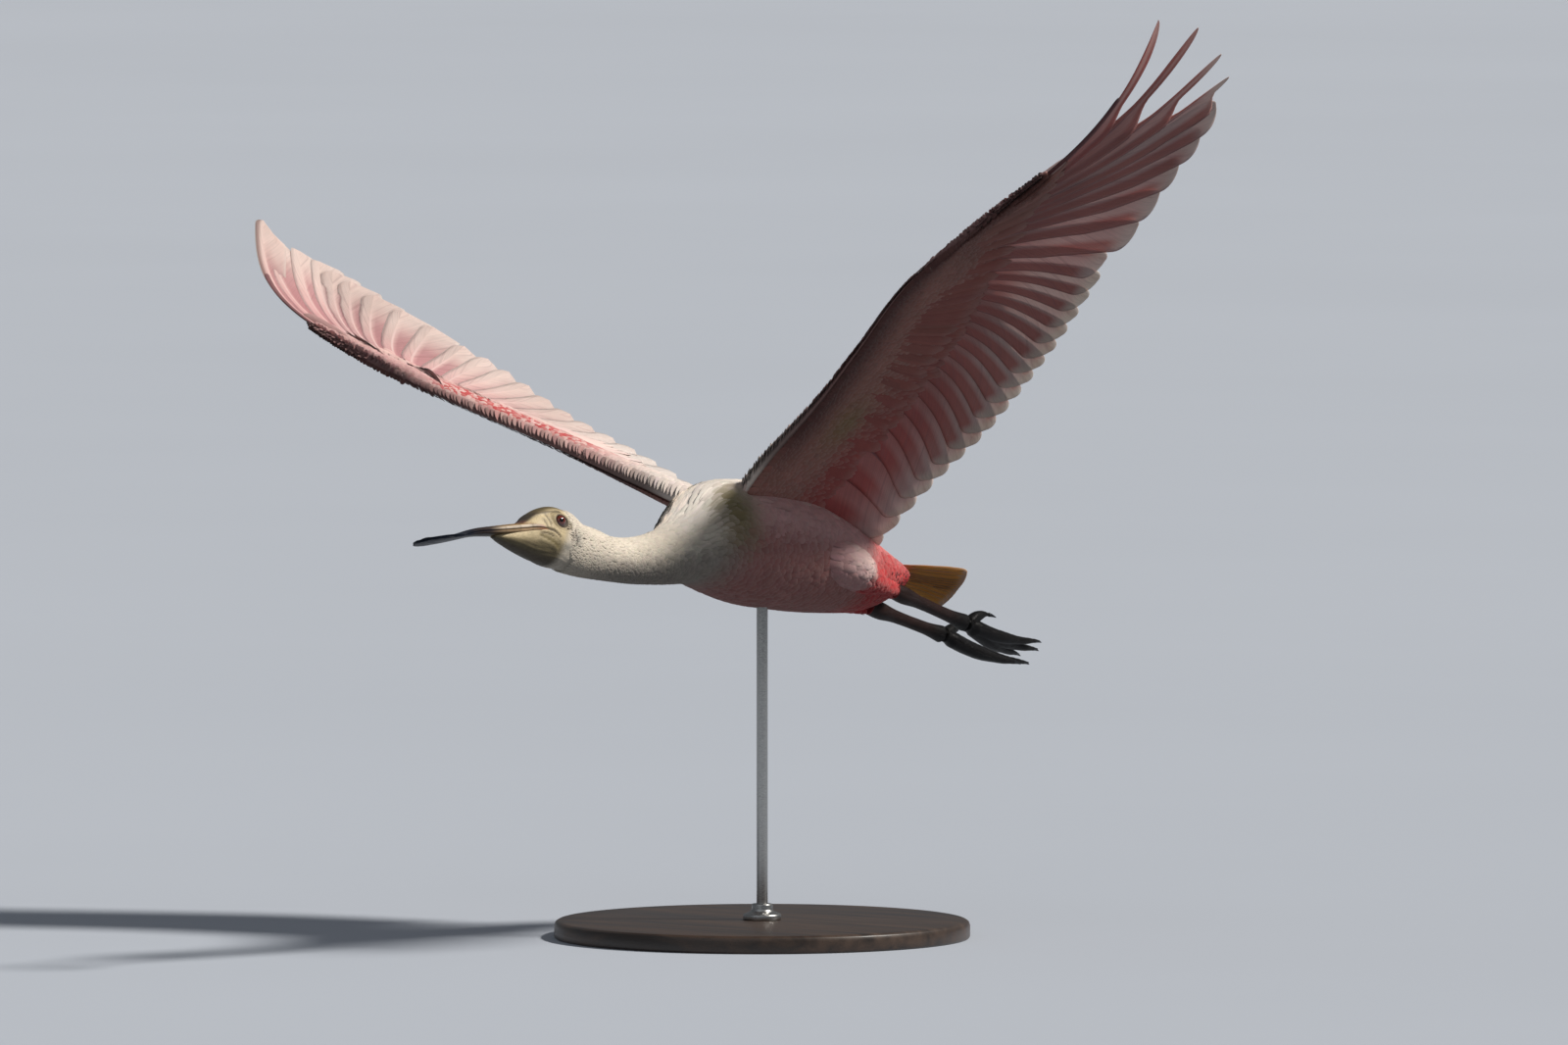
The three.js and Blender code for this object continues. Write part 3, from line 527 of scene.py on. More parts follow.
def coordinates(mesh):
    values = np.empty(len(mesh.vertices) * 3)
    mesh.vertices.foreach_get("co", values)
    return values.reshape(-1, 3)


def bird_frame(points):
    """Metres in the model's frame back to millimetres in the bird's frame."""
    return (np.asarray(points) * 1000 - BIRD_PLACE) @ BIRD_TURN


def store(mesh, name, kind, values, domain="POINT"):
    """Named attribute on a mesh, such as a colour or a distance along the piece."""
    layer = mesh.attributes.new(name, kind, domain)
    field = {"FLOAT": "value", "FLOAT_COLOR": "color", "FLOAT_VECTOR": "vector", "FLOAT2": "vector",
             "INT": "value"}[kind]
    dtype = np.int32 if kind == "INT" else np.float32
    layer.data.foreach_set(field, np.asarray(values, dtype).ravel())
    return layer


def with_alpha(colours):
    return np.concatenate([colours, np.ones((len(colours), 1))], axis=1)


def remove_object(piece):
    mesh = piece.data
    bpy.data.objects.remove(piece)
    bpy.data.meshes.remove(mesh)


def baked_mesh(piece):
    """The object's mesh with its modifiers carried out and taken off."""
    graph = bpy.context.evaluated_depsgraph_get()
    mesh = bpy.data.meshes.new_from_object(
        piece.evaluated_get(graph), preserve_all_data_layers=True, depsgraph=graph
    )
    old = piece.data
    piece.modifiers.clear()
    piece.data = mesh
    bpy.data.meshes.remove(old)
    mesh.name = piece.name
    return piece


def finish_piece(piece, slot, *nodes):
    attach(piece, "root")
    if nodes:
        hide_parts(*nodes)
    return piece


class Limb:
    """Round limb of changing radius along a smooth path."""

    def __init__(self, points, radii):
        points = np.array(points, float)
        reach = np.concatenate([[0], np.cumsum(np.linalg.norm(np.diff(points, axis=0), axis=1))])
        self.length = reach[-1]
        self.path = smooth_table([(r / reach[-1], *p) for r, p in zip(reach, points)])
        self.radius = smooth_table([(k / (len(radii) - 1), r) for k, r in enumerate(radii)])

    def centre(self, t):
        ahead, side, height = self.path(t)
        return place(ahead, side, height)

    def frame(self, t):
        """Directions along, up and across the limb."""
        along = unit(self.centre(np.minimum(t + 0.01, 1)) - self.centre(np.maximum(t - 0.01, 0)))
        across = unit(np.cross(along, np.array([0.0, 0.0, 1.0])))
        return along, np.cross(across, along), across

    def point(self, t, turn, grow=0.0):
        """Point of the limb's surface; turn 0 is sideways and a quarter turn is on top."""
        _, up, across = self.frame(t)
        radius = np.maximum(self.radius(t)[0] + grow, 0.3)
        c, s = np.cos(turn)[..., None], np.sin(turn)[..., None]
        return self.centre(t) + (c * across + s * up) * radius[..., None]


def sided(points, side):
    """A table of the left side's points for either side."""
    return [(ahead, SIDES[side] * across, height) for ahead, across, height in points]


class Leg:
    """Thigh, shank and toes of one leg."""

    def __init__(self, side):
        shape = LEG[side]
        self.thigh = Limb(sided(shape["thigh"], side), THIGH_RADII)
        ankle, toes, hind = sided([shape["thigh"][-1], shape["toes"], shape["hind"]], side)
        self.shank = Limb([ankle, np.array([ankle, toes]).mean(0), toes], SHANK_RADII)
        along = unit(np.array(toes, float) - np.array(ankle, float))
        middle = np.array(toes) + along * 7
        self.toes = [self.toe(middle, tip, -TOE_ARCH, TOE_RADII) for tip in sided(shape["tips"], side)]
        self.toes.append(self.toe(middle, hind, HIND_TOE_ARCH, HIND_TOE_RADII))

    @staticmethod
    def toe(middle, tip, arch, radii):
        points = []
        for t in (0, 0.35, 0.7, 1):
            point = mix(np.array(middle, float), np.array(tip, float), t)
            point[2] += arch * math.sin(math.pi * t)
            points.append(point)
        return Limb(points, radii)


LEGS = {side: Leg(side) for side in SIDES}


def linear_colour(red, green, blue):
    """Everyday 0 to 255 colour as the linear values that shading needs."""
    channels = (red, green, blue)
    return tuple((c / 255 / 12.92) if c <= 10 else ((c / 255 + 0.055) / 1.055) ** 2.4 for c in channels)


def colour_property(name, description, red, green, blue):
    return bpy.props.FloatVectorProperty(
        name=name,
        description=description,
        subtype="COLOR",
        size=3,
        min=0,
        max=1,
        default=linear_colour(red, green, blue),
    )


class SpoonbillColours(bpy.types.PropertyGroup):
    """Colours of the bird's skin, horn and feathers."""

    face: colour_property("Face", "Bare skin of the face", 218, 198, 158)
    crown: colour_property("Crown", "Bare skin of the crown", 104, 90, 60)
    forehead: colour_property("Forehead", "Dark skin above the bill", 70, 62, 54)
    throat: colour_property("Throat", "Loose skin under the bill", 116, 104, 76)
    ear: colour_property("Ear", "Skin round the ear", 112, 116, 112)
    lid: colour_property("Eyelid", "Rim of the eyelids", 50, 34, 24)
    iris: colour_property("Iris", "Iris of the eye", 104, 34, 16)
    neck: colour_property("Neck", "Short feathers of the neck", 232, 220, 202)
    # Breast: painted shade, a darker tint laid on the underside of neck and breast
    breast: colour_property("Breast", "Feathers of the breast", 160, 152, 142)
    stain: colour_property("Stain", "Stained feathers at the bend of the wing", 140, 126, 74)
    body: colour_property("Body", "Feathers of flank and belly", 222, 172, 170)
    white: colour_property("Shoulder", "White feathers of the shoulders and back", 240, 230, 220)
    carmine: colour_property("Carmine", "Deep red feathers", 200, 58, 60)
    pink: colour_property("Pink", "Feathers of the wings", 222, 152, 154)
    pale: colour_property("Pale pink", "Pale edges and tips of the wing's feathers", 236, 206, 196)
    dusk: colour_property("Dusk", "Shaded part of each flight feather", 172, 112, 118)
    underwing: colour_property("Underwing", "Coverts below the wing", 178, 132, 120)
    # Flank: painted shade, the darker colour laid on the lower half of the trunk
    flank: colour_property("Flank", "Feathers of flank and belly below", 176, 118, 114)
    # Band: painted shade for overlapping halves of the flight feathers seen from below, where less light shines
    # through; also the real deep red band of the under coverts
    band: colour_property("Band", "Overlapping halves of the flight feathers from below", 186, 106, 98)
    edge: colour_property("Leading edge", "Dark feathers along the front of the wing", 86, 54, 52)
    ochre: colour_property("Ochre", "Tail feathers", 255, 166, 76)
    leg: colour_property("Leg", "Scales of the leg", 44, 28, 26)
    foot: colour_property("Foot", "Scales of the foot", 13, 11, 12)
    horn: colour_property("Horn", "Golden horn of the bill's base", 150, 112, 62)
    slate: colour_property("Slate", "Dark horn of the bill's blade", 22, 28, 41)


class SpoonbillSizes(bpy.types.PropertyGroup):
    """Sizes of the feathers and the coat."""

    coat_depth: bpy.props.FloatProperty(
        name="Coat depth", description="How far the skin lies under the feathers of the body",
        default=0.0034, min=0, max=0.01, unit="LENGTH",
    )
    neck_feather: bpy.props.FloatProperty(
        name="Neck feather", description="Length of a feather in the middle of the neck",
        default=0.011, min=0.004, max=0.03, unit="LENGTH",
    )
    body_feather: bpy.props.FloatProperty(
        name="Body feather", description="Length of a feather of the flank",
        default=0.027, min=0.01, max=0.06, unit="LENGTH",
    )
    vane_thickness: bpy.props.FloatProperty(
        name="Vane thickness", description="Thickness of a flight feather's vane",
        default=0.0006, min=0.0003, max=0.002, unit="LENGTH",
    )
    patch: bpy.props.FloatProperty(
        name="Patch size", description="Size of one feather's patch on the unwrap of the skin",
        default=0.003, min=0.001, max=0.01,
    )


class StageSettings(bpy.types.PropertyGroup):
    """Floor, light and camera."""

    floor: colour_property("Floor", "Plain pale floor", 186, 192, 202)
    key: bpy.props.FloatProperty(
        name="Key light", description="Strength of the soft sun from the upper right",
        default=3.5, min=0, max=20,
    )
    fill: bpy.props.FloatProperty(
        name="Fill light", description="Strength of the even light from all round",
        default=0.15, min=0, max=5,
    )
    distance: bpy.props.FloatProperty(
        name="Camera distance", description="From the camera to the bird",
        default=20, min=2, max=100, unit="LENGTH",
    )
    azimuth: bpy.props.FloatProperty(
        name="Azimuth", description="Camera's place round the bird",
        default=math.radians(38.95), subtype="ANGLE", unit="ROTATION",
    )
    elevation: bpy.props.FloatProperty(
        name="Elevation", description="Camera's height above the horizon",
        default=math.radians(3.56), subtype="ANGLE", unit="ROTATION",
    )


def colour(name):
    return np.array(getattr(bpy.context.scene.spoonbill_colours, name)[:])


def sizes():
    return bpy.context.scene.spoonbill_sizes


def blend_colours(base, other, share):
    """Colours mixed point by point."""
    return base + (np.asarray(other) - base) * np.asarray(share)[..., None]


def tinted(base, name, share):
    """Colours mixed with one of the bird's named colours."""
    return blend_colours(base, colour(name), share)


def bump_at(ahead, height, centre, width):
    """Soft round mask about a place on the side of the head or body."""
    return np.exp(-((ahead - centre[0]) / width[0]) ** 2 - ((height - centre[1]) / width[1]) ** 2)


def along_line(ahead, height, line, width):
    """Mask along a line drawn on the side of the head as (ahead, height) points."""
    at = np.array(sorted(line), float)
    middle = np.interp(ahead, at[:, 0], at[:, 1])
    ends = smoothstep(ahead, at[0, 0] - 3, at[0, 0] + 2) * (1 - smoothstep(ahead, at[-1, 0] - 2, at[-1, 0] + 3))
    return np.exp(-((height - middle) / width) ** 2) * ends


# Lines of the face on either side, as (ahead, height)
GAPE_LINE = [(272, -96.4), (266, -96), (260, -96.3), (256, -98), (252, -100.6)]
SECOND_LINE = [(275, -101), (268, -100.2), (263, -100.6), (259, -102)]
JOWL_LINE = [(276, -103.6), (268, -104.4), (260, -106), (253, -109)]
BROW_LINE = [(284, -88), (275, -82.5), (266, -79.6), (258, -77.4), (248, -75.6)]
WRINKLES = [(264.5, -87, 6.5), (268.5, -91, 4.5), (237.5, -92, 9), (232, -96, 8)]
EAR_PATCHES = [((229, -97), (5, 6)), ((241, -107), (7, 4))]
LID_OPENING = 5.6
# Creases and ridges along those lines: distance below the line, height and width
FACE_FOLDS = [
    (GAPE_LINE, 0, -0.9, 0.75),
    (GAPE_LINE, 2.4, 0.75, 1.3),
    (GAPE_LINE, -2.2, 0.55, 1.2),
    (SECOND_LINE, 0, -0.5, 0.6),
    (JOWL_LINE, 0, -0.8, 0.8),
    (JOWL_LINE, 3.4, 0.9, 2.2),
    (BROW_LINE, 0, 0.7, 1.6),
    (BROW_LINE, 2.6, -0.45, 0.9),
]


def eye_distance(ahead, height):
    """Distance from the middle of the eye, with the opening a little longer than high."""
    return np.hypot((ahead - EYE["ahead"]) / 1.3, (height - EYE["height"]) / 0.93)


def face_relief(ahead, side, height):
    """How far the sculpted head stands out from its plain outline."""
    flank = smoothstep(np.abs(side), 5, 10)
    relief = 0
    for line, below, stand, width in FACE_FOLDS:
        relief = relief + stand * along_line(ahead, height + below, line, width) * flank
    for at, middle, reach in WRINKLES:
        bow = at + 1.2 * np.sin((height - middle) * 0.35)
        relief += -0.5 * np.exp(-((ahead - bow) / 0.7) ** 2 - ((height - middle) / reach) ** 4) * flank
    relief += -0.9 * bump_at(ahead, height, (228, -97), (3.4, 3.6)) * flank
    relief += 0.6 * bump_at(ahead, height, (238, -104), (9, 7)) * flank
    folds = np.sin(height * 1.9 + 1.6 * np.sin(ahead * 0.12)) * bump_at(ahead, height, (262, -116), (34, 7))
    relief += 0.28 * folds
    grain = np.sin(ahead * 1.7 + height * 0.6) * np.sin(height * 2.1 - ahead * 0.5)
    return relief + 0.07 * grain * smoothstep(ahead, 238, 246)


def lids(points):
    """Opens the lids round the eyes and shapes their rims and the hollow round them."""
    side, ahead, height = points[..., 0], -points[..., 1], points[..., 2]
    sign = np.sign(side)
    reach = eye_distance(ahead, height)
    near = (np.abs(side) > 9) & (reach < 13)
    snap = near & (np.abs(reach - LID_OPENING) < 0.45)
    share = np.where(snap, LID_OPENING / np.maximum(reach, 1e-6), 1)
    ahead = EYE["ahead"] + (ahead - EYE["ahead"]) * share
    height = EYE["height"] + (height - EYE["height"]) * share
    reach = np.where(snap, LID_OPENING, reach)
    flat = np.hypot(ahead - EYE["ahead"], height - EYE["height"])
    ball = EYE["side"] + np.sqrt(np.maximum(EYE["radius"] ** 2 - flat**2, 0))
    out = np.abs(side)
    inner = ball - 1.6
    rim = EYE["side"] + math.sqrt(EYE["radius"] ** 2 - LID_OPENING**2) + 0.35
    ring = 0.5 * np.exp(-((reach - 6.8) / 0.95) ** 2) - 0.7 * np.exp(-((reach - 8.6) / 0.9) ** 2)
    ring += 0.45 * np.exp(-((reach - 10.1) / 0.9) ** 2)
    outside = mix(rim, out, smoothstep(reach, LID_OPENING, 9.5)) + ring
    shaped = np.where(reach < LID_OPENING - 0.01, np.minimum(inner, rim), outside)
    out = np.where(near, shaped, out)
    return place(ahead, sign * out, height)


def coat_depth_at(ahead):
    """Depth of the skin under the CAD's outline: none on the bare face."""
    deep = sizes().coat_depth * 1000
    return deep * (1 - smoothstep(ahead, 95, 205)) + 1.3 * smoothstep(ahead, 95, 205) * (
        1 - smoothstep(ahead, 226, 250)
    )


def spread(low, high, dense, width, coarse, fine):
    """Stations from low to high, closer together within width of each dense place."""
    stations, at = [low], low
    while at < high:
        nearest = min(abs(at - middle) for middle in dense)
        at += mix(fine, coarse, float(smoothstep(nearest, width * 0.7, width * 1.6)))
        stations.append(min(at, high))
    return np.array(stations)


def body_grid():
    """Rings of the body's skin, closest round the eyes."""
    head = spread(204, 321.5, [EYE["ahead"]], 12, 1.3, 0.5)
    rest = np.concatenate([np.arange(TRUNK_END, 100, 3.6), np.arange(100, 204, 2.4)])
    ahead = np.concatenate([rest, head])[::-1]
    eye_turn = math.radians(27)
    turn = spread(-math.pi, math.pi, [eye_turn, math.pi - eye_turn], 0.5, 0.07, 0.028)[:-1]
    return np.meshgrid(ahead, turn, indexing="ij")


def body_skin():
    ahead, turn = body_grid()
    points = body_point(ahead, turn, coat_depth_at(ahead))
    along = np.gradient(points, axis=0)
    about = np.roll(points, -1, axis=1) - np.roll(points, 1, axis=1)
    normal = unit(np.cross(about, along))
    outwards = points - points.mean(axis=1, keepdims=True)
    normal *= np.sign((normal * outwards).sum(-1, keepdims=True))
    relief = face_relief(ahead, points[..., 0], points[..., 2]) * smoothstep(ahead, 205, 230)
    return tube(lids(points + normal * relief[..., None]))


def wing_skin(wing):
    """Closed skin of the arm and hand under their coverts."""
    span = np.concatenate([np.arange(ARM_START, 60, 4), np.arange(60, HAND_END, 4.5), [HAND_END]])
    x = (1 - np.cos(np.linspace(0, math.pi, 30))) / 2
    spans, shares = np.meshgrid(span, x, indexing="ij")
    depth = 1.1 * (1 - smoothstep(spans, 240, 400))
    over = wing.flesh(spans, shares, 1, depth)
    under = wing.flesh(spans, shares, -1, depth)[:, ::-1]
    return tube(np.concatenate([over, under], axis=1))


def limb_skin(limb, count, sides, grow, relief=None):
    t, turn = np.meshgrid(np.linspace(0, 1, count), np.arange(sides) / sides * 2 * math.pi, indexing="ij")
    extra = 0 if relief is None else relief(t, turn)
    return tube(limb.point(t, turn, grow + extra))


def scutes(period, length, depth):
    """Overlapping scales across the front of a limb, with the knobs of the joints."""

    def relief(t, turn):
        scale_at = t * length / period
        saw = scale_at - np.floor(scale_at)
        front = smoothstep(np.abs(np.sin((turn - math.pi / 2) / 2)), 0.85, 0.35)
        grain = 0.35 * np.sin(turn * 9) * np.sin(scale_at * 2 * math.pi * 1.7)
        return depth * ((1 - saw**3) * mix(0.35, 1, front) + grain * (1 - front))

    return relief


def webbed(scales):
    """Scales of a toe, with the toe padded out at its base where the web begins."""

    def relief(t, turn):
        return scales(t, turn) - 0.35 + 1.9 * smoothstep(t, 0.02, 0.12) * (1 - smoothstep(t, 0.3, 0.85))

    return relief


def union(base, other):
    modifier = base.modifiers.new("join", "BOOLEAN")
    modifier.operation = "UNION"
    modifier.solver = "MANIFOLD"
    modifier.object = other
    baked_mesh(base)
    remove_object(other)


def soften_joins(piece):
    """Rounds the creases where wings and thighs leave the body."""
    work = bmesh.new()
    work.from_mesh(piece.data)
    work.verts.ensure_lookup_table()
    here = bird_frame([v.co for v in work.verts])
    inside = (np.abs(here[:, 0]) < 78) & (here[:, 1] > -70) & (here[:, 1] < 175)
    chosen = set()
    for edge in work.edges:
        if len(edge.link_faces) == 2 and edge.calc_face_angle(0) > 0.35:
            chosen.update(v for v in edge.verts if inside[v.index])
    for _ in range(4):
        chosen |= {edge.other_vert(v) for v in chosen for edge in v.link_edges}
    for _ in range(14):
        bmesh.ops.smooth_vert(
            work, verts=list(chosen), factor=0.5, use_axis_x=True, use_axis_y=True, use_axis_z=True
        )
    work.to_mesh(piece.data)
    work.free()


# Markings, with some painted shade, shared by the skin and the feathers over it
def body_colours(ahead, turn, side, height):
    """Colours of head, neck and trunk at places on their surface."""
    ahead, turn, side, height = np.broadcast_arrays(ahead, turn, side, height)
    top = np.sin(turn)
    out = np.zeros(ahead.shape + (3,)) + colour("neck")
    # Painted shade: the underside of neck and breast takes the darker breast colour
    out = tinted(out, "breast", smoothstep(-top, -0.1, 0.6) * smoothstep(-ahead, -240, -150))
    trunk = smoothstep(-ahead, -62, -5)
    # Painted shade: the trunk turns to the darker flank colour on its underside
    flank = blend_colours(np.zeros_like(out) + colour("body"), colour("flank"), smoothstep(-top, -0.3, 0.35))
    flank = tinted(flank, "white", smoothstep(top, 0.55, 0.92))
    out = blend_colours(out, flank, trunk)
    out = tinted(out, "white", smoothstep(top, 0.2, 0.7) * smoothstep(-ahead, -120, -60) * (1 - trunk))
    rump = smoothstep(-ahead, 128, 176)
    patchy = 0.5 + 0.5 * np.sin(ahead * 0.31 + 3 * turn) * np.sin(turn * 5 - ahead * 0.13)
    out = tinted(out, "carmine", rump * (1 - (0.15 + 0.45 * patchy) * smoothstep(top, 0.0, 0.9)))
    stain = np.exp(-((ahead - 38) / 20) ** 2 - ((height + 38) / 34) ** 2) * smoothstep(top, -0.8, -0.3)
    out = blend_colours(out, 0.75 * colour("stain"), 0.95 * stain * smoothstep(np.abs(side), 14, 30))
    return head_colours(out, ahead, top, side, height)


def head_colours(out, ahead, top, side, height):
    flank = smoothstep(np.abs(side), 5, 10)
    bare = smoothstep(ahead + 5 * top, 237, 249)
    skin = np.zeros_like(out) + colour("face")
    skin = tinted(skin, "throat", smoothstep(-top, 0.05, 0.6))
    skin = tinted(skin, "forehead", 0.75 * smoothstep(-top, 0.72, 0.95))
    skin = tinted(skin, "crown", smoothstep(top, 0.72, 0.92))
    skin = tinted(skin, "forehead", smoothstep(top, 0.72, 0.93) * smoothstep(ahead, 268, 280))
    out = blend_colours(out, skin, bare)
    out = tinted(out, "crown", 0.7 * smoothstep(top, 0.8, 0.95) * smoothstep(ahead, 226, 240) * (1 - bare))
    for centre, width in EAR_PATCHES:
        out = tinted(out, "ear", 0.6 * bump_at(ahead, height, centre, width) * flank)
    dark = colour("lid")
    out = blend_colours(out, dark, 0.75 * along_line(ahead, height, BROW_LINE, 1.2) * flank)
    out = blend_colours(out, dark, 0.95 * along_line(ahead, height, GAPE_LINE, 1.2) * flank)
    out = blend_colours(out, dark, 0.8 * along_line(ahead, height, SECOND_LINE, 0.9) * flank)
    jowl = blend_colours(np.zeros_like(out) + colour("stain"), dark, 0.45)
    out = blend_colours(out, jowl, 0.85 * along_line(ahead, height, JOWL_LINE, 1.9) * flank)
    out = tinted(out, "carmine", 0.14 * bump_at(ahead, height, (287, -93), (5, 2)))
    # Painted shade: the creases of the wrinkles are darkened
    for at, middle, reach in WRINKLES:
        bow = at + 1.2 * np.sin((height - middle) * 0.35)
        crease = np.exp(-((ahead - bow) / 1.1) ** 2 - ((height - middle) / reach) ** 4)
        out = blend_colours(out, dark, 0.75 * crease * flank)
    reach = eye_distance(ahead, height)
    around = flank * (np.abs(side) > 9)
    # Painted shade in the hollow round the lids
    out = tinted(out, "crown", 0.5 * np.exp(-((reach - 8.8) / 1.4) ** 2) * around)
    return blend_colours(out, dark, 0.92 * (1 - smoothstep(reach, 6.3, 7.2)) * around)


def wing_colours(span, x, layer, chance=0.5):
    """Colours of arm and hand, above (layer 1) and below (layer -1).

    chance is a number from 0 to 1 for each feather, so that deep red ones stand among pale ones.
    """
    span, x, chance = np.broadcast_arrays(span, x, chance)
    base = np.zeros(span.shape + (3,))
    hand = smoothstep(span, 225, 290)
    if layer > 0:
        out = tinted(base + colour("pale"), "pink", 0.25 + 0.3 * chance)
        out = tinted(out, "white", 0.85 * (1 - smoothstep(span, 20, 120)))
        out = tinted(out, "dusk", hand * mix(0.35, 0.1, smoothstep(x, 0.1, 0.7)) * (0.6 + 0.8 * chance))
        patch = smoothstep(span, 80, 135) * (1 - smoothstep(span, 240, 275))
        patch *= smoothstep(x, 0.05, 0.13) * (1 - smoothstep(x, 0.38, 0.58))
        wave = 0.5 + 0.5 * np.sin(span * 0.23 + 9 * x) * np.sin(span * 0.071 - 14 * x + 1)
        out = tinted(out, "carmine", 0.92 * patch * smoothstep(chance + 0.5 * wave, 0.45, 0.95))
        front = mix(0.1, 0.4, smoothstep(span, 20, 160)) * (1 - smoothstep(x, 0.02, 0.2))
        rim = 0.75 * smoothstep(span, -10, 40) * (1 - smoothstep(x, 0.05, 0.085))
        return tinted(out, "edge", np.maximum(front, rim))
    out = tinted(base + colour("underwing"), "band", 0.15 + 0.2 * chance)
    out = tinted(out, "stain", 0.6 * bump_at(span, x * 100, (88, 44), (26, 16)))
    band = smoothstep(x, 0.5, 0.8) * (1 - smoothstep(span, 260, 330))
    red_dark = blend_colours(colour("band"), colour("edge"), 0.3)
    out = blend_colours(out, red_dark, 0.75 * band)
    out = tinted(out, "carmine", band * mix(0.3, 0.05, smoothstep(span, 30, 170)))
    front = (1 - smoothstep(x, 0.05, 0.34)) * smoothstep(span, -10, 70)
    front = np.maximum(front, 0.7 * smoothstep(span, 240, 330) * (1 - smoothstep(x, 0.3, 1.0)))
    return tinted(out, "edge", 0.88 * front)


def primary_colours(u, t, q, above):
    """Colours along a flight feather of the hand; q is 1 at its outer edge and -1 at its inner."""
    tip = smoothstep(t, 0.86, 0.99)
    base = np.zeros(t.shape + (3,))
    outermost = smoothstep(u, 0.93, 1)
    if above:
        out = tinted(base + colour("pale"), "pink", 0.75 * (1 - smoothstep(t, 0.45, 0.95)))
        out = tinted(out, "dusk", 0.7 * smoothstep(-q, 0.02, 0.2) * (1 - smoothstep(t, 0.72, 0.97)))
        out = tinted(out, "dusk", 0.35 * (1 - outermost) * smoothstep(q, 0.75, 1.0) * (1 - tip))
        out = tinted(out, "edge", 0.7 * outermost * smoothstep(q, 0.3, 0.7))
        return tinted(out, "pale", 0.6 * tip * (1 - outermost))
    # Painted shade: from below, where a vane overlaps its neighbour less light shines through, so these halves
    # take the darker band colour
    overlap_shade = smoothstep(np.where(q > 0, q * 9, -q * 2.2), 0.95, 1.15)
    out = tinted(base + colour("pale"), "pink", 0.35 + 0.2 * (1 - u))
    out = tinted(out, "band", 0.92 * overlap_shade * (1 - tip))
    # Painted shade: from below, the base of each feather is darker where the coverts above keep light from
    # shining through
    dark = blend_colours(colour("band"), colour("edge"), 0.45)
    out = blend_colours(out, dark, 0.7 * (1 - smoothstep(t, 0.3, 0.65)))
    finger = smoothstep(u, 0.7, 0.85)
    out = blend_colours(out, dark, 0.6 * finger * (1 - 0.8 * outermost))
    out = tinted(out, "carmine", 0.2 * outermost)
    out = tinted(out, "edge", 0.6 * outermost * smoothstep(q, 0.2, 0.6))
    # Pale tips from below, painted brighter for the light shining through them
    return tinted(out, "pale", 0.85 * tip * (1 - finger))


def secondary_colours(v, t, q, above):
    """Colours along a flight feather of the arm."""
    tip = smoothstep(t, 0.9, 0.985)
    base = np.zeros(t.shape + (3,))
    if above:
        out = tinted(base + colour("pale"), "pink", 0.5 * (1 - smoothstep(t, 0.55, 0.95)))
        out = tinted(out, "dusk", 0.4 * smoothstep(-q, 0.05, 0.5) * (1 - v) * (1 - tip))
        return tinted(out, "white", 0.7 * smoothstep(v, 0.2, 0.6))
    # Painted shade: from below, where a vane overlaps its neighbour less light shines through, so these halves
    # take the darker band colour
    overlap_shade = smoothstep(np.where(q > 0, q * 9, -q * 2.1), 0.95, 1.12)
    out = tinted(base + colour("pale"), "pink", 0.3)
    out = tinted(out, "band", 0.92 * overlap_shade * (1 - tip))
    # Painted shade: from below, the base of each feather is darker where the coverts above keep light from
    # shining through
    dark = blend_colours(colour("band"), colour("edge"), 0.3)
    out = blend_colours(out, dark, 0.75 * (1 - smoothstep(t, 0.5, 0.7)) * (1 - 0.5 * v))
    red = (1 - smoothstep(t, mix(0.42, 0.8, v), mix(0.66, 1.0, v))) * mix(0.1, 0.5, smoothstep(v, 0.4, 0.95))
    out = tinted(out, "carmine", red)
    # Innermost tips from below: pink-white, partly painted light shining through them
    inner_tip = smoothstep(v, 0.6, 0.9) * smoothstep(t, 0.62, 0.95)
    out = blend_colours(out, 0.5 * colour("white") + 0.5 * colour("pink"), 0.8 * inner_tip)
    # Pale tips from below, painted brighter for the light shining through them
    return blend_colours(out, mix(colour("white"), colour("ochre"), 0.2), 0.85 * tip)


# Flight feathers
def vane_rows(start, count):
    """Shares of the length from start to the tip, closest at the tip."""
    w = np.linspace(0, 1, count)
    return start + (1 - start) * (1 - (1 - w) ** 1.5)


def flat_rise(t, columns):
    return 0.03 * columns


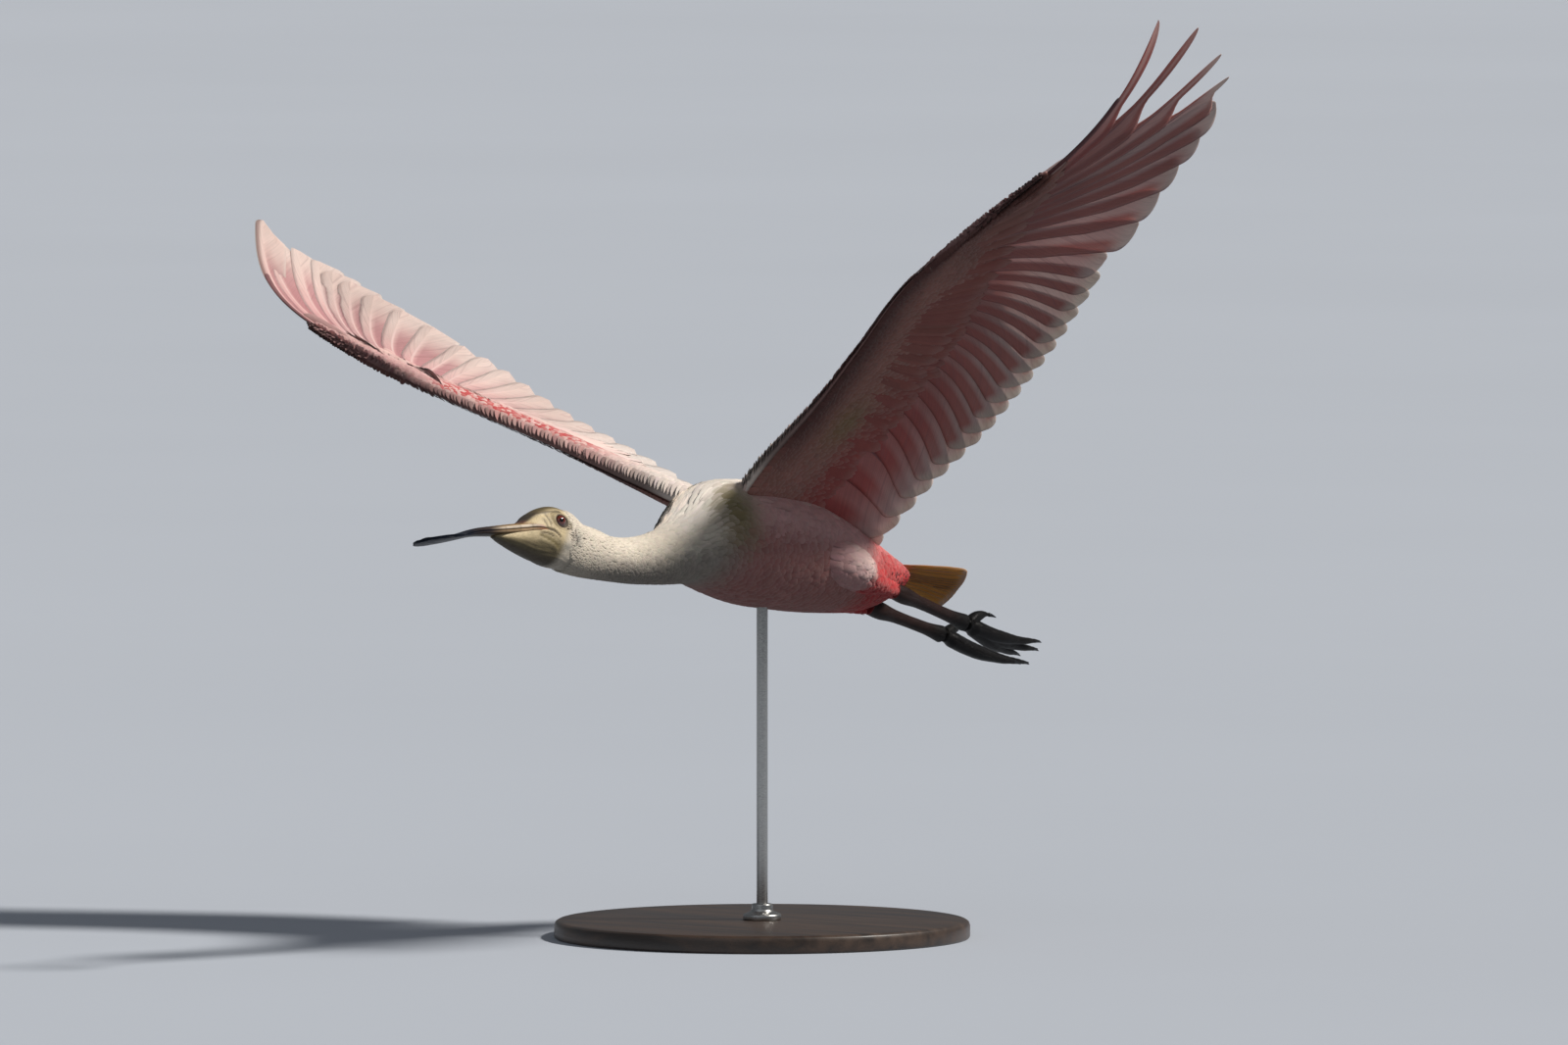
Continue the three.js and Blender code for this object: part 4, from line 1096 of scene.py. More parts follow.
def vane(shaft, lift, sheet, start, halves, tip_from, colours, strip, count=34, rise=flat_rise):
    """One closed vane with its quill: points, faces, attributes and its strips of the UV map.

    halves gives the outer and inner half widths at a share of the length, and rise how far the
    vane stands over its quill at a distance across it.
    """
    thick = sizes().vane_thickness * 1000
    t = vane_rows(start, count)
    step = 0.004
    run = unit(shaft(t + step) - shaft(t - step))
    distal = np.stack([run[:, 1], -run[:, 0]], -1)
    outer, inner = halves(t)
    w = np.clip((t - tip_from) / (1 - tip_from), 0, 1)
    rounding = np.sqrt(np.maximum(1 - w**2.3, 0.0004))
    outer, inner = np.maximum(outer * rounding, 0.25), np.maximum(inner * rounding, 0.25)
    quill = np.clip(mix(1.5, 0.35, t), 0.3, 2)
    shares = np.array([-1, -0.84, -0.62, -0.4, -0.2, 0.25, 0.6, 1])
    columns = [np.where(s < 0, s * inner, s * outer) for s in shares]
    side_of_quill = np.minimum(quill * 0.5, np.minimum(outer, inner) * 0.3)
    columns += [-side_of_quill, 0 * t, side_of_quill]
    columns = np.sort(np.stack(columns, axis=1), axis=1)
    q = np.where(columns < 0, columns / inner[:, None], columns / outer[:, None])
    flat = shaft(t)[:, None, :] + distal[:, None, :] * columns[..., None]
    wave = 0.12 * np.sin(t[:, None] * 21 + strip[0]) * np.abs(q)
    level = lift(t)[:, None] + rise(t, columns) - 0.4 * q * q + wave
    body = thick / 2 * (1 - 0.55 * q * q) * mix(1, 0.6, t[:, None])
    ridge = np.exp(-((columns / quill[:, None]) ** 2) * 2.2) * quill[:, None]
    over = sheet(flat, level + body + 0.16 * ridge)
    under = sheet(flat, level - body - 0.3 * ridge)[:, ::-1]
    points, faces = tube(np.concatenate([over, under], axis=1))
    along = np.concatenate([t[:, None] + 0 * q, t[:, None] + 0 * q], axis=1)
    across = np.concatenate([q, q[:, ::-1]], axis=1)
    above = np.concatenate([np.ones_like(q), np.zeros_like(q)], axis=1)
    tint = np.where(above[..., None] > 0, colours(along, across, True), colours(along, across, False))

    def with_poles(grid):
        ends = [grid[k].mean(0).reshape(1, -1) for k in (0, -1)]
        return np.concatenate([grid.reshape(along.size, -1), *ends])

    return {
        "points": points,
        "faces": faces,
        "along": with_poles(along[..., None])[:, 0],
        "across": with_poles(across[..., None])[:, 0],
        "above": with_poles(above[..., None])[:, 0],
        "tint": with_poles(tint),
        "uv": vane_corners(faces, across, (along - start) / (1 - start), strip),
    }


def vane_corners(faces, across, along, strip):
    """UV of each face's corners, on the vane's strip for its upper side or for its lower."""
    number, total = strip
    rows, around = across.shape
    width, poles = around // 2, rows * around
    uv = []
    for top in (0, 1):
        left = (2 * number + top + 0.08) / (2 * total)
        share = (across + 1) / 2 * 0.84 / (2 * total)
        uv.append(np.stack([left + share, 0.02 + 0.96 * along], -1).reshape(-1, 2))
    corners = []
    for face in faces:
        upper = any(k % around < width for k in face if k < poles)
        for k in face:
            if k >= poles:
                k = face[0] if face[0] < poles else face[1]
            row, column = divmod(k, around)
            if upper and column >= width:
                column = around - 1 - column
            corners.append(uv[int(upper)][row * around + column])
    return corners


def vane_object(name, vanes):
    points, faces = merged([(v["points"], v["faces"]) for v in vanes])
    piece = bpy.data.objects.new(name, bpy.data.meshes.new(name))
    mesh = piece.data
    mesh.from_pydata(world(points).tolist(), [], faces)
    mesh.shade_smooth()
    bpy.context.scene.collection.objects.link(piece)
    for key in ("along", "across", "above"):
        store(mesh, key, "FLOAT", np.concatenate([v[key] for v in vanes]))
    tone = [np.full(len(v["points"]), 0.5 + 0.5 * math.sin(7.3 * k + 1)) for k, v in enumerate(vanes)]
    store(mesh, "tone", "FLOAT", np.concatenate(tone))
    store(mesh, "tint", "FLOAT_COLOR", with_alpha(np.concatenate([v["tint"] for v in vanes])))
    uv = mesh.uv_layers.new(name="OFBake")
    uv.data.foreach_set("uv", np.array([c for v in vanes for c in v["uv"]], np.float32).ravel())
    face_outwards(mesh)
    return piece


def gap_between(shaft, other, most=60.0):
    def gap(t):
        return np.minimum(np.linalg.norm(shaft(t) - other(t), axis=-1), most)

    return gap


def even_gap(width):
    def gap(t):
        return width + 0 * t

    return gap


def rise_between(feather, outer, inner, tilt):
    """Brings a vane's outer edge just above its neighbour and its inner edge just below."""
    shaft, lift = feather

    def rise(t, columns):
        out = tilt * columns
        for other, here in ((outer, columns > 0), (inner, columns < 0)):
            if other is None:
                continue
            fine = np.linspace(0, 1, 160)
            apart = np.linalg.norm(shaft(t)[:, None] - other[0](fine)[None], axis=-1)
            gap = np.maximum(apart.min(1), 6)
            step = np.clip(other[1](fine)[apart.argmin(1)] - lift(t), -0.4 * gap, 0.4 * gap)
            share = np.minimum(np.abs(columns) / gap[:, None], 1)
            out = out + np.where(here, step[:, None] * share, 0)
        return out

    return rise


def flight_halves(outer_gap, inner_gap, outer_slot=0.9, inner_slot=0.9, finger=False, widest=26.0):
    """Half widths of a vane that overlaps its neighbours up to its slots and is free beyond."""

    def halves(t):
        outer = np.clip(0.45 * outer_gap(t), 4.5, 10)
        inner = np.clip(1.12 * inner_gap(t), 13, widest) * mix(0.75, 1, smoothstep(t, 0, 0.4))
        if finger:
            free_outer = smoothstep((t - outer_slot) / (1 - outer_slot), -0.12, 0.3)
            free_inner = smoothstep((t - inner_slot) / (1 - inner_slot), -0.12, 0.3)
            outer = mix(outer, np.minimum(outer, 0.6 * FINGER_HALF_WIDTH), free_outer)
            inner = mix(inner, np.minimum(inner, 1.05 * FINGER_HALF_WIDTH), free_inner)
        return outer, inner

    return halves


def primary_vanes(wing):
    vanes = []
    joined, edge = WING_POSE[wing.side]["slots"], WING_POSE[wing.side]["edge"]
    count = len(wing.primaries)
    for i, (shaft, lift) in enumerate(wing.primaries):
        u = i / (count - 1)
        inner_shaft = wing.primaries[i - 1][0] if i else wing.secondaries[0][0]
        outer_gap = gap_between(shaft, wing.primaries[i + 1][0]) if i < count - 1 else even_gap(2 * edge)
        slots = [joined[i] if i < count - 1 else 0.3, joined[i - 1] if i else 0.9]
        finger = min(slots[1:] + slots[: i < count - 1]) < 0.75
        halves = flight_halves(outer_gap, gap_between(shaft, inner_shaft), *slots, finger, 30.0)
        tip_from = 0.8 if finger else WING_POSE[wing.side]["tip_from"] - 0.01

        def colours(t, q, above, u=u):
            return primary_colours(u, t, q, above)

        outer = wing.primaries[i + 1] if i < count - 1 else None
        inner = wing.primaries[i - 1] if i else wing.secondaries[0]
        rise = rise_between((shaft, lift), outer, inner, WING_POSE[wing.side]["tilt"])
        vanes.append(vane(shaft, lift, wing.sheet, 0.12, halves, tip_from, colours, (i, count), 40, rise))
    return vanes


LAST_GAP = 11


def secondary_vanes(wing):
    vanes = []
    count = len(wing.secondaries)
    for j, (shaft, lift) in enumerate(wing.secondaries):
        v = j / (count - 1)
        outer_shaft = wing.secondaries[j - 1][0] if j else wing.primaries[0][0]
        inner_gap = gap_between(shaft, wing.secondaries[j + 1][0]) if j < count - 1 else even_gap(LAST_GAP)
        widest = mix(26.0, 46.0, smoothstep(v, 0.8, 0.95))
        halves = flight_halves(gap_between(shaft, outer_shaft), inner_gap, widest=widest)

        def colours(t, q, above, v=v):
            return secondary_colours(v, t, q, above)

        tip_from = mix(0.9, WING_POSE[wing.side]["tip_from"], smoothstep(v, 0.05, 0.4))
        outer = wing.secondaries[j - 1] if j else wing.primaries[0]
        inner = wing.secondaries[j + 1] if j < count - 1 else None
        rise = rise_between((shaft, lift), outer, inner, WING_POSE[wing.side]["tilt"])
        vanes.append(vane(shaft, lift, wing.sheet, 0.2, halves, tip_from, colours, (j, count), 34, rise))
    return vanes


def tail_sheet(flat, height):
    across, along = flat[..., 0], flat[..., 1] - TAIL["root"]
    aside = across * math.cos(TAIL["roll"]) * math.cos(TAIL["swing"]) + along * math.sin(TAIL["swing"])
    behind = TAIL["root"] + along * math.cos(TAIL["swing"]) - across * math.sin(TAIL["swing"])
    up = TAIL["height"] + TAIL["rise"] * along / TAIL["length"] + across * math.sin(TAIL["roll"]) + height
    return place(-behind, aside, up)


def tail_vanes():
    def shaft_of(u):
        angle = TAIL["spread"] * u
        length = TAIL["length"] * (1 - 0.05 * u * u)

        def shaft(t):
            return np.stack([
                TAIL["half_width"] * u + length * t * math.sin(angle),
                TAIL["root"] + length * t * math.cos(angle),
            ], -1)

        return shaft

    def colours(t, q, above):
        out = np.zeros(t.shape + (3,)) + colour("ochre")
        out = tinted(out, "carmine", 0.7 * (1 - smoothstep(t, 0.2, 0.5)))
        out = tinted(out, "leg", 0.5 * smoothstep(np.abs(q), 0.6, 1) * (1 - smoothstep(t, 0.9, 1)))
        streak = np.exp(-((q + 0.35) / 0.14) ** 2) * smoothstep(t, 0.25, 0.5) * (1 - smoothstep(t, 0.85, 0.97))
        out = tinted(out, "leg", 0.4 * streak)
        return tinted(out, "pale", 0.55 * smoothstep(t + 0.03 * np.sin(11 * q), 0.92, 0.98))

    vanes = []
    places = np.linspace(-1, 1, TAIL["count"])
    for k, u in enumerate(places):
        middle_out = abs(u)

        def halves(t, middle_out=middle_out):
            wide = 4.4 + 4.0 * smoothstep(t, 0.1, 0.75)
            return wide * mix(1, 0.7, middle_out), wide

        def level(t, middle_out=middle_out):
            return 2.6 * (1 - middle_out) - 1.6 + 0 * t

        shaft = shaft_of(u)
        vanes.append(vane(shaft, level, tail_sheet, 0.02, halves, 0.88, colours, (k, TAIL["count"]), 24))
    return vanes


# Coat: small feathers laid over the skin
RANDOM = np.random.default_rng(11)
KINDS = ("covert", "tuft", "plume")


class Plumage:
    """Feathers to be laid on a surface, each from its root over a middle point to its tip."""

    def __init__(self):
        self.lots = []

    def lay(self, path, outwards, width, tint, root_uv, kind):
        start, middle, end = path
        start = start + np.zeros_like(end)
        count = len(start)
        self.lots.append({
            "root": world(start),
            "lie": turned(4 * middle - end - 3 * start) * 0.001,
            "bend": turned(2 * end + 2 * start - 4 * middle) * 0.001,
            "up": turned(unit(outwards)),
            "width": np.broadcast_to(width, count) * 0.001,
            "tint": tint * (1 + RANDOM.normal(0, 0.05, (count, 1)) + RANDOM.normal(0, 0.012, (count, 3))),
            "root_uv": root_uv,
            "kind": np.full(count, KINDS.index(kind)),
        })

    def gathered(self, key):
        return np.concatenate([lot[key] for lot in self.lots])


def ragged(count, size):
    return RANDOM.normal(0, size, count)


COAT_TABLE = smooth_table([
    (250, 0.22, 1.4, 1.2),
    (240, 0.38, 1.7, 1.7),
    (218, 0.62, 2.2, 2.6),
    (180, 0.85, 2.6, 3.4),
    (140, 1.05, 3.0, 4.4),
    (100, 1.35, 3.8, 6.0),
    (60, 1.8, 4.9, 8.5),
    (0, 2.2, 5.7, 10.5),
    (-100, 2.3, 6.0, 11),
    (-180, 2.3, 5.6, 10),
    (-250, 2.1, 5.2, 9),
])


def coat_sizes(ahead):
    """Length, spacing and width of the feathers at a place along the body."""
    share, spacing, width = COAT_TABLE(ahead)
    neck = sizes().neck_feather * 1000
    body = sizes().body_feather * 1000 / 2.45
    return share * mix(body, neck, smoothstep(ahead, 60, 120)), spacing, width


def body_roots(front, back, keep):
    """Staggered rows of roots round the body, as arrays of ahead and turn."""
    found_ahead, found_turn = [], []
    ahead, row = front, 0
    while ahead > back:
        _, spacing, _ = coat_sizes(np.float64(ahead))
        top, bottom, half_width = body_at(np.float64(ahead))
        girth = math.pi * (half_width + (top - bottom) / 2)
        count = max(8, int(girth / spacing))
        turn = (np.arange(count) + 0.5 * (row % 2)) / count * 2 * math.pi - math.pi
        turn += ragged(count, 0.16 * 2 * math.pi / count)
        at = ahead + ragged(count, 0.16 * spacing)
        kept = keep(at, turn)
        found_ahead.append(at[kept])
        found_turn.append(turn[kept])
        ahead -= 0.62 * float(spacing)
        row += 1
    return np.concatenate(found_ahead), np.concatenate(found_turn)


def lay_on_body(plumage, ahead, turn, kind, stretch=1.0, loft=1.0, sway=0.10):
    count = len(ahead)
    length, _, width = coat_sizes(ahead)
    length = length * stretch * (1 + ragged(count, 0.08))
    length = np.minimum(length, np.maximum(ahead - TRUNK_END + 1, 6))
    _, _, half_width = body_at(ahead)
    yaw = ragged(count, sway)
    swing = np.tan(yaw) * length / np.maximum(half_width, 12)
    deep = coat_depth_at(ahead)
    tip = -loft * (0.05 + 0.16 * RANDOM.random(count))
    path = (
        body_point(ahead, turn, deep + 0.5),
        body_point(ahead - length * 0.5, turn + swing * 0.5, deep * 0.2),
        body_point(ahead - length, turn + swing, tip),
    )
    outwards = body_point(ahead, turn, -1) - body_point(ahead, turn, 1)
    tint = body_colours(ahead - 0.6 * length, turn, path[0][:, 0], path[0][:, 2])
    vary = 1 + smoothstep(-ahead, 110, 160) * 0.35 * (RANDOM.random(count) - 0.6)
    tint = tint * vary[:, None]
    around = 0.02 + 0.96 * (turn / (2 * math.pi) + 0.5) % 0.999
    uv = np.stack([around, 0.02 + 0.96 * (ahead + 262) / 520, 0 * turn], -1)
    plumage.lay(path, outwards, width * (1 + ragged(count, 0.08)), tint, uv, kind)


def head_border(ahead, turn):
    """True where feathers grow: behind an uneven line across the back of the head."""
    top = np.sin(turn)
    line = 243 - 7 * np.maximum(top, 0) - 14 * np.maximum(-top, 0) ** 1.5
    return ahead < line + 1.5 * np.sin(turn * 9)


def wing_aside(wing, layer, span, x):
    """Point of the fleshy wing's surface a little nearer the body."""
    return wing.flesh(span - 1.5, x, layer)


def lay_wing(plumage, wing, layer, span, x, length, slant, width, kind, rise=(0.4, -0.05, -0.28)):
    """Feathers on an arm and hand, from a share x of the chord back along their slant."""
    count = len(span)

    def at(share, depth):
        spans = span + share * length * np.sin(slant)
        front, hind = leading_at(np.clip(span, -30, 430)), wing.coverts(span)[0]
        chord = mix(front, hind, x) + share * length * np.cos(slant)
        new_front, new_hind = leading_at(np.clip(spans, -30, 430)), wing.coverts(spans)[0]
        return wing.flesh(spans, (chord - new_front) / (new_hind - new_front), layer, depth)

    ruffle = RANDOM.random(count)
    path = (at(0, rise[0]), at(0.5, rise[1] - 0.1 * ruffle), at(1, rise[2] - 0.3 * ruffle))
    beside = at(0.1, 0) - wing_aside(wing, layer, span, x)
    outwards = np.cross(path[2] - path[0], beside)
    outwards *= np.sign((outwards * (at(0.1, -0.6) - at(0.1, 0.6))).sum(-1, keepdims=True))
    middle_x = np.clip(x + 0.6 * length / 95, -0.05, 1.1)
    tint = wing_colours(span, middle_x, layer, RANDOM.random(count))
    uv = np.stack([0.02 + 0.96 * (span + 35) / 460, 0.02 + 0.9 * np.clip(x, 0, 1.05), 0 * span], -1)
    plumage.lay(path, outwards, width, tint, uv, kind)


covert_slant = smooth_table([
    (-30, -6), (40, 2), (110, 10), (180, 22), (247, 34), (300, 48), (350, 60), (410, 72),
])
covert_length = smooth_table([(0, 0.085), (0.1, 0.12), (0.3, 0.18), (0.5, 0.27), (0.62, 0.4)])
COVERT_ROWS = 19
COVERT_SPACING = 3.9


def small_coverts(plumage, wing, layer):
    """Lesser and median coverts in staggered rows from the leading edge back."""
    spans, rows = np.meshgrid(np.arange(-8, 404, COVERT_SPACING), np.arange(COVERT_ROWS), indexing="ij")
    spans = (spans + COVERT_SPACING / 2 * (rows % 2)).ravel()
    rows = rows.ravel()
    count = len(spans)
    x = 0.62 * (rows / (COVERT_ROWS - 1)) ** 1.1 - 0.005
    spans = spans + ragged(count, 0.6)
    x = np.maximum(x + ragged(count, 0.005), 0.004)
    chord = wing.coverts(spans)[0] - leading_at(np.clip(spans, -30, 430))
    length = covert_length(np.clip(x, 0, 0.62))[0] * np.clip(chord, 40, 110) * (1 + ragged(count, 0.06))
    slant = np.radians(covert_slant(spans)[0] + 30 * (1 - smoothstep(x, 0.02, 0.2))) + ragged(count, 0.07)
    width = np.clip(length * 0.5, mix(6.0, 4.4, smoothstep(x, 0.02, 0.2)), 9)
    lay_wing(plumage, wing, layer, spans, x, length, slant, width, "covert")


def great_coverts(plumage, wing, layer):
    """Long coverts over the bases of the flight feathers, two for each feather of the arm."""
    over_hand = 0.4 if layer > 0 else 0.0
    feathers = [
        (shaft, 1 + over_hand * math.sin(math.pi * k / 9)) for k, (shaft, _) in enumerate(wing.primaries)
    ]
    feathers += [(shaft, 1.0) for shaft, _ in wing.secondaries]
    for lag in (0.0, 0.5):
        for k, (shaft, share) in enumerate(feathers):
            flat = shaft(np.array([0.03 + 0.02 * lag, 0.3]))
            run = flat[1] - flat[0]
            span = flat[0, 0] + lag * 4.6
            front, hind = leading_at(np.clip(span, -30, 430)), wing.coverts(span)[0]
            x = np.clip((flat[0, 1] - front) / (hind - front), 0.3, 0.7)
            slant = math.atan2(run[0], run[1])
            reach = (hind - mix(front, hind, x)) / max(math.cos(slant), 0.35)
            length = np.clip(reach, 22, 62) * (1.04 + 0.05 * lag + 0.05 * RANDOM.normal())
            lay_wing(
                plumage, wing, layer, np.array([span]), np.array([x]), np.array([length * share]),
                np.array([slant]), np.array([9.5 if k < 10 else 13.5]), "plume", (0.5, -0.35, -0.5),
            )


def long_coverts(plumage, wing):
    """Long soft feathers over the upper side of the arm's flight feathers, out to near their tips."""
    shafts = wing.primaries[3::-1] + wing.secondaries
    for start, end, height in ((0.3, 0.9, 1.5), (0.26, 0.64, 2.2)):
        for lag in (0.0, 0.33, 0.67):
            for k, (shaft, lift) in enumerate(shafts[:-1]):
                v = (k + lag) / (len(shafts) - 1)
                further, further_lift = shafts[k + 1]
                tip = mix(start + 0.12, end, smoothstep(v, 0.2, 0.6)) + 0.02 * RANDOM.normal()
                t = np.array([start, (start + tip) / 2, tip])
                flat = mix(shaft(t), further(t), lag)
                level = mix(lift(t), further_lift(t), lag) + np.array([-0.6, 1.0, 0.7]) * height
                at = wing.sheet(flat, level)
                outwards = wing.sheet(flat[1:2], level[1:2] + 1) - at[1:2]
                chance = RANDOM.random()
                tint = blend_colours(colour("pale"), colour("pink"), 0.1 + 0.45 * chance * (1 - 0.5 * v))
                tint = blend_colours(tint, colour("white"), 0.75 * smoothstep(v, 0.25, 0.8))
                uv = np.array([[0.05 + 0.85 * v + 0.02 * lag, 0.9 + 0.2 * (0.3 - start), 0]])
                plumage.lay((at[0:1], at[1:2], at[2:3]), outwards, np.array([11.5]), tint[None], uv, "plume")


def edge_feathers(plumage, wing, layer):
    """Small dark feathers along the outer edge of the outermost flight feather."""
    shaft, lift = wing.primaries[-1]
    outer = 0.7 * WING_POSE[wing.side]["edge"]
    t = np.arange(0.2, 0.6, 0.011)

    def at(share, height):
        here = shaft(t + 0.075 * share)
        run = unit(shaft(t + 0.01) - shaft(t - 0.01))
        flat = here + np.stack([run[:, 1], -run[:, 0]], -1) * outer * mix(1, 0.55, share)
        return wing.sheet(flat, lift(t + 0.075 * share) + 0.035 * outer + layer * height)

    path = (at(0, 0.1), at(0.5, 0.6), at(1, 0.55))
    outwards = at(0, 1) - at(0, 0)
    tint = np.zeros((len(t), 3)) + blend_colours(colour("edge"), colour("dusk"), 0.35)
    uv = np.stack([0.02 + 0.96 * t, 0.99 + 0 * t, 0 * t], -1)
    plumage.lay(path, outwards, mix(6.5, 4.5, t), tint, uv, "covert")


def thumb_feathers(plumage, wing):
    """Small stiff feathers of the thumb, lying along the wrist."""
    for k in range(4):
        lay_wing(
            plumage, wing, 1, np.array([252.0 + 7 * k]), np.array([0.1 + 0.05 * k]), np.array([62.0 - 9 * k]),
            np.array([math.radians(58 + 4 * k)]), np.array([9.0]), "plume", (0.4, -0.9, -1.0),
        )


def lay_on_thigh(plumage, leg, side):
    rows = []
    for k, t in enumerate(np.arange(0.1, 0.93, 0.026)):
        count = max(8, int(2 * math.pi * float(leg.thigh.radius(np.float64(t))[0]) / 5.2))
        turn = (np.arange(count) + 0.5 * (k % 2)) / count * 2 * math.pi
        rows.append(np.stack([np.full(count, t), turn], -1))
    t, turn = np.concatenate(rows).T
    count = len(t)
    t = t + ragged(count, 0.006)
    turn = turn + ragged(count, 0.08)
    length = mix(22.0, 12.0, t) * (1 + ragged(count, 0.1)) / leg.thigh.length
    swing = ragged(count, 0.12)
    tip = 0.1 + 0.5 * RANDOM.random(count)
    path = (
        leg.thigh.point(t, turn, -2.8),
        leg.thigh.point(np.minimum(t + length / 2, 1.0), turn + swing / 2, -0.6),
        leg.thigh.point(np.minimum(t + length, 1.0), turn + swing, tip),
    )
    outwards = leg.thigh.point(t, turn, 1) - leg.thigh.point(t, turn, -1)
    tint = thigh_colours(t, turn)
    first = 0.52 if side == "right" else 0.02
    uv = np.stack([0.02 + 0.94 * (turn / (2 * math.pi)) % 0.999, first + 0.45 * t, 0 * t], -1)
    plumage.lay(path, outwards, mix(9.0, 5.0, t) * (1 + ragged(count, 0.1)), tint, uv, "tuft")


def thigh_colours(t, turn):
    out = np.zeros(t.shape + (3,)) + blend_colours(colour("body"), colour("dusk"), 0.25)
    # Paler cream-pink on the outer side of the thigh, partly painted light where the sun falls on it
    sunlit_blush = blend_colours(colour("white"), colour("body"), 0.65)
    out = blend_colours(out, sunlit_blush, smoothstep(t, 0.1, 0.26) * smoothstep(np.sin(turn), -0.95, -0.2))
    out = tinted(out, "carmine", smoothstep(t, 0.36, 0.48))
    return tinted(out, "leg", 0.6 * smoothstep(t, 0.86, 1))


def vane_prototype(name, half_widths, crown, rim):
    """Small solid vane one unit long and one wide, with a ridge along its middle."""
    rows = len(half_widths)
    along = 1 - (1 - np.linspace(0, 1, rows + 2)[1:-1]) ** 1.4
    rings = []
    for y, half in zip(along, half_widths):
        drop = -rim * (2 * half) ** 2
        rings.append([(-half, y, drop), (0, y, crown), (half, y, drop), (0, y, -crown)])
    points = [p for ring in rings for p in ring] + [(0, 0, 0), (0, 1, 0)]
    faces = ring_faces(rows, 4)
    for i in range(4):
        j = (i + 1) % 4
        faces.append([j, i, rows * 4])
        faces.append([(rows - 1) * 4 + i, (rows - 1) * 4 + j, rows * 4 + 1])
    piece = mesh_object(name, points, faces)
    here = np.array(points, float)
    store(piece.data, "along", "FLOAT", here[:, 1])
    store(piece.data, "across", "FLOAT", here[:, 0] * 2)
    return piece


def link(tree, start, end):
    tree.links.new(start, end)


def plumage_tree(prototypes):
    """Geometry Nodes that set a vane on each root, bend it over the skin and give it its patch."""
    tree = bpy.data.node_groups.new("Lay feathers", "GeometryNodeTree")
    face = tree.interface
    face.new_socket("Roots", in_out="INPUT", socket_type="NodeSocketGeometry")
    patch = face.new_socket("Patch size", in_out="INPUT", socket_type="NodeSocketFloat")
    patch.default_value = 0.003
    stout = face.new_socket("Stoutness", in_out="INPUT", socket_type="NodeSocketFloat")
    stout.default_value = 1.0
    face.new_socket("Finish", in_out="INPUT", socket_type="NodeSocketMaterial")
    face.new_socket("Feathers", in_out="OUTPUT", socket_type="NodeSocketGeometry")
    nodes = tree.nodes
    start, end = nodes.new("NodeGroupInput"), nodes.new("NodeGroupOutput")

    def attribute(name, kind):
        found = nodes.new("GeometryNodeInputNamedAttribute")
        found.data_type = kind
        found.inputs["Name"].default_value = name
        return found.outputs["Attribute"]

    def vector_math(operation, first, second=None):
        found = nodes.new("ShaderNodeVectorMath")
        found.operation = operation
        link(tree, first, found.inputs[0])
        if second is not None and operation == "SCALE":
            link(tree, second, found.inputs["Scale"])
        elif second is not None:
            link(tree, second, found.inputs[1])
        return found

    lie = attribute("lie", "FLOAT_VECTOR")
    axes = nodes.new("FunctionNodeAxesToRotation")
    axes.primary_axis, axes.secondary_axis = "Y", "Z"
    link(tree, lie, axes.inputs["Primary Axis"])
    link(tree, attribute("up", "FLOAT_VECTOR"), axes.inputs["Secondary Axis"])
    width = attribute("width", "FLOAT")
    thick = nodes.new("ShaderNodeMath")
    thick.operation = "MULTIPLY"
    link(tree, width, thick.inputs[0])
    link(tree, start.outputs["Stoutness"], thick.inputs[1])
    scale = nodes.new("ShaderNodeCombineXYZ")
    link(tree, width, scale.inputs["X"])
    link(tree, vector_math("LENGTH", lie).outputs["Value"], scale.inputs["Y"])
    link(tree, thick.outputs[0], scale.inputs["Z"])
    joined = nodes.new("GeometryNodeJoinGeometry")
    kind = attribute("kind", "INT")
    for k, prototype in enumerate(prototypes):
        shape = nodes.new("GeometryNodeObjectInfo")
        shape.inputs["Object"].default_value = prototype
        chosen = nodes.new("FunctionNodeCompare")
        chosen.data_type, chosen.operation = "INT", "EQUAL"
        link(tree, kind, chosen.inputs[2])
        chosen.inputs[3].default_value = k
        laid = nodes.new("GeometryNodeInstanceOnPoints")
        link(tree, start.outputs["Roots"], laid.inputs["Points"])
        link(tree, chosen.outputs[0], laid.inputs["Selection"])
        link(tree, shape.outputs["Geometry"], laid.inputs["Instance"])
        link(tree, axes.outputs[0], laid.inputs["Rotation"])
        link(tree, scale.outputs[0], laid.inputs["Scale"])
        link(tree, laid.outputs[0], joined.inputs[0])
    solid = nodes.new("GeometryNodeRealizeInstances")
    link(tree, joined.outputs[0], solid.inputs[0])
    along = attribute("along", "FLOAT")
    square = nodes.new("ShaderNodeMath")
    square.operation = "MULTIPLY"
    link(tree, along, square.inputs[0])
    link(tree, along, square.inputs[1])
    bent = nodes.new("GeometryNodeSetPosition")
    link(tree, solid.outputs[0], bent.inputs["Geometry"])
    offset = vector_math("SCALE", attribute("bend", "FLOAT_VECTOR"), square.outputs[0])
    link(tree, offset.outputs["Vector"], bent.inputs["Offset"])
    local = nodes.new("ShaderNodeCombineXYZ")
    link(tree, attribute("across", "FLOAT"), local.inputs["X"])
    link(tree, along, local.inputs["Y"])
    sized = vector_math("SCALE", local.outputs[0], start.outputs["Patch size"])
    spot = vector_math("ADD", attribute("root_uv", "FLOAT_VECTOR"), sized.outputs["Vector"])
    mapped = nodes.new("GeometryNodeStoreNamedAttribute")
    mapped.data_type, mapped.domain = "FLOAT2", "CORNER"
    mapped.inputs["Name"].default_value = "OFBake"
    link(tree, bent.outputs[0], mapped.inputs["Geometry"])
    link(tree, spot.outputs["Vector"], mapped.inputs["Value"])
    finish = nodes.new("GeometryNodeSetMaterial")
    link(tree, mapped.outputs[0], finish.inputs["Geometry"])
    link(tree, start.outputs["Finish"], finish.inputs["Material"])
    link(tree, finish.outputs[0], end.inputs["Feathers"])
    return tree


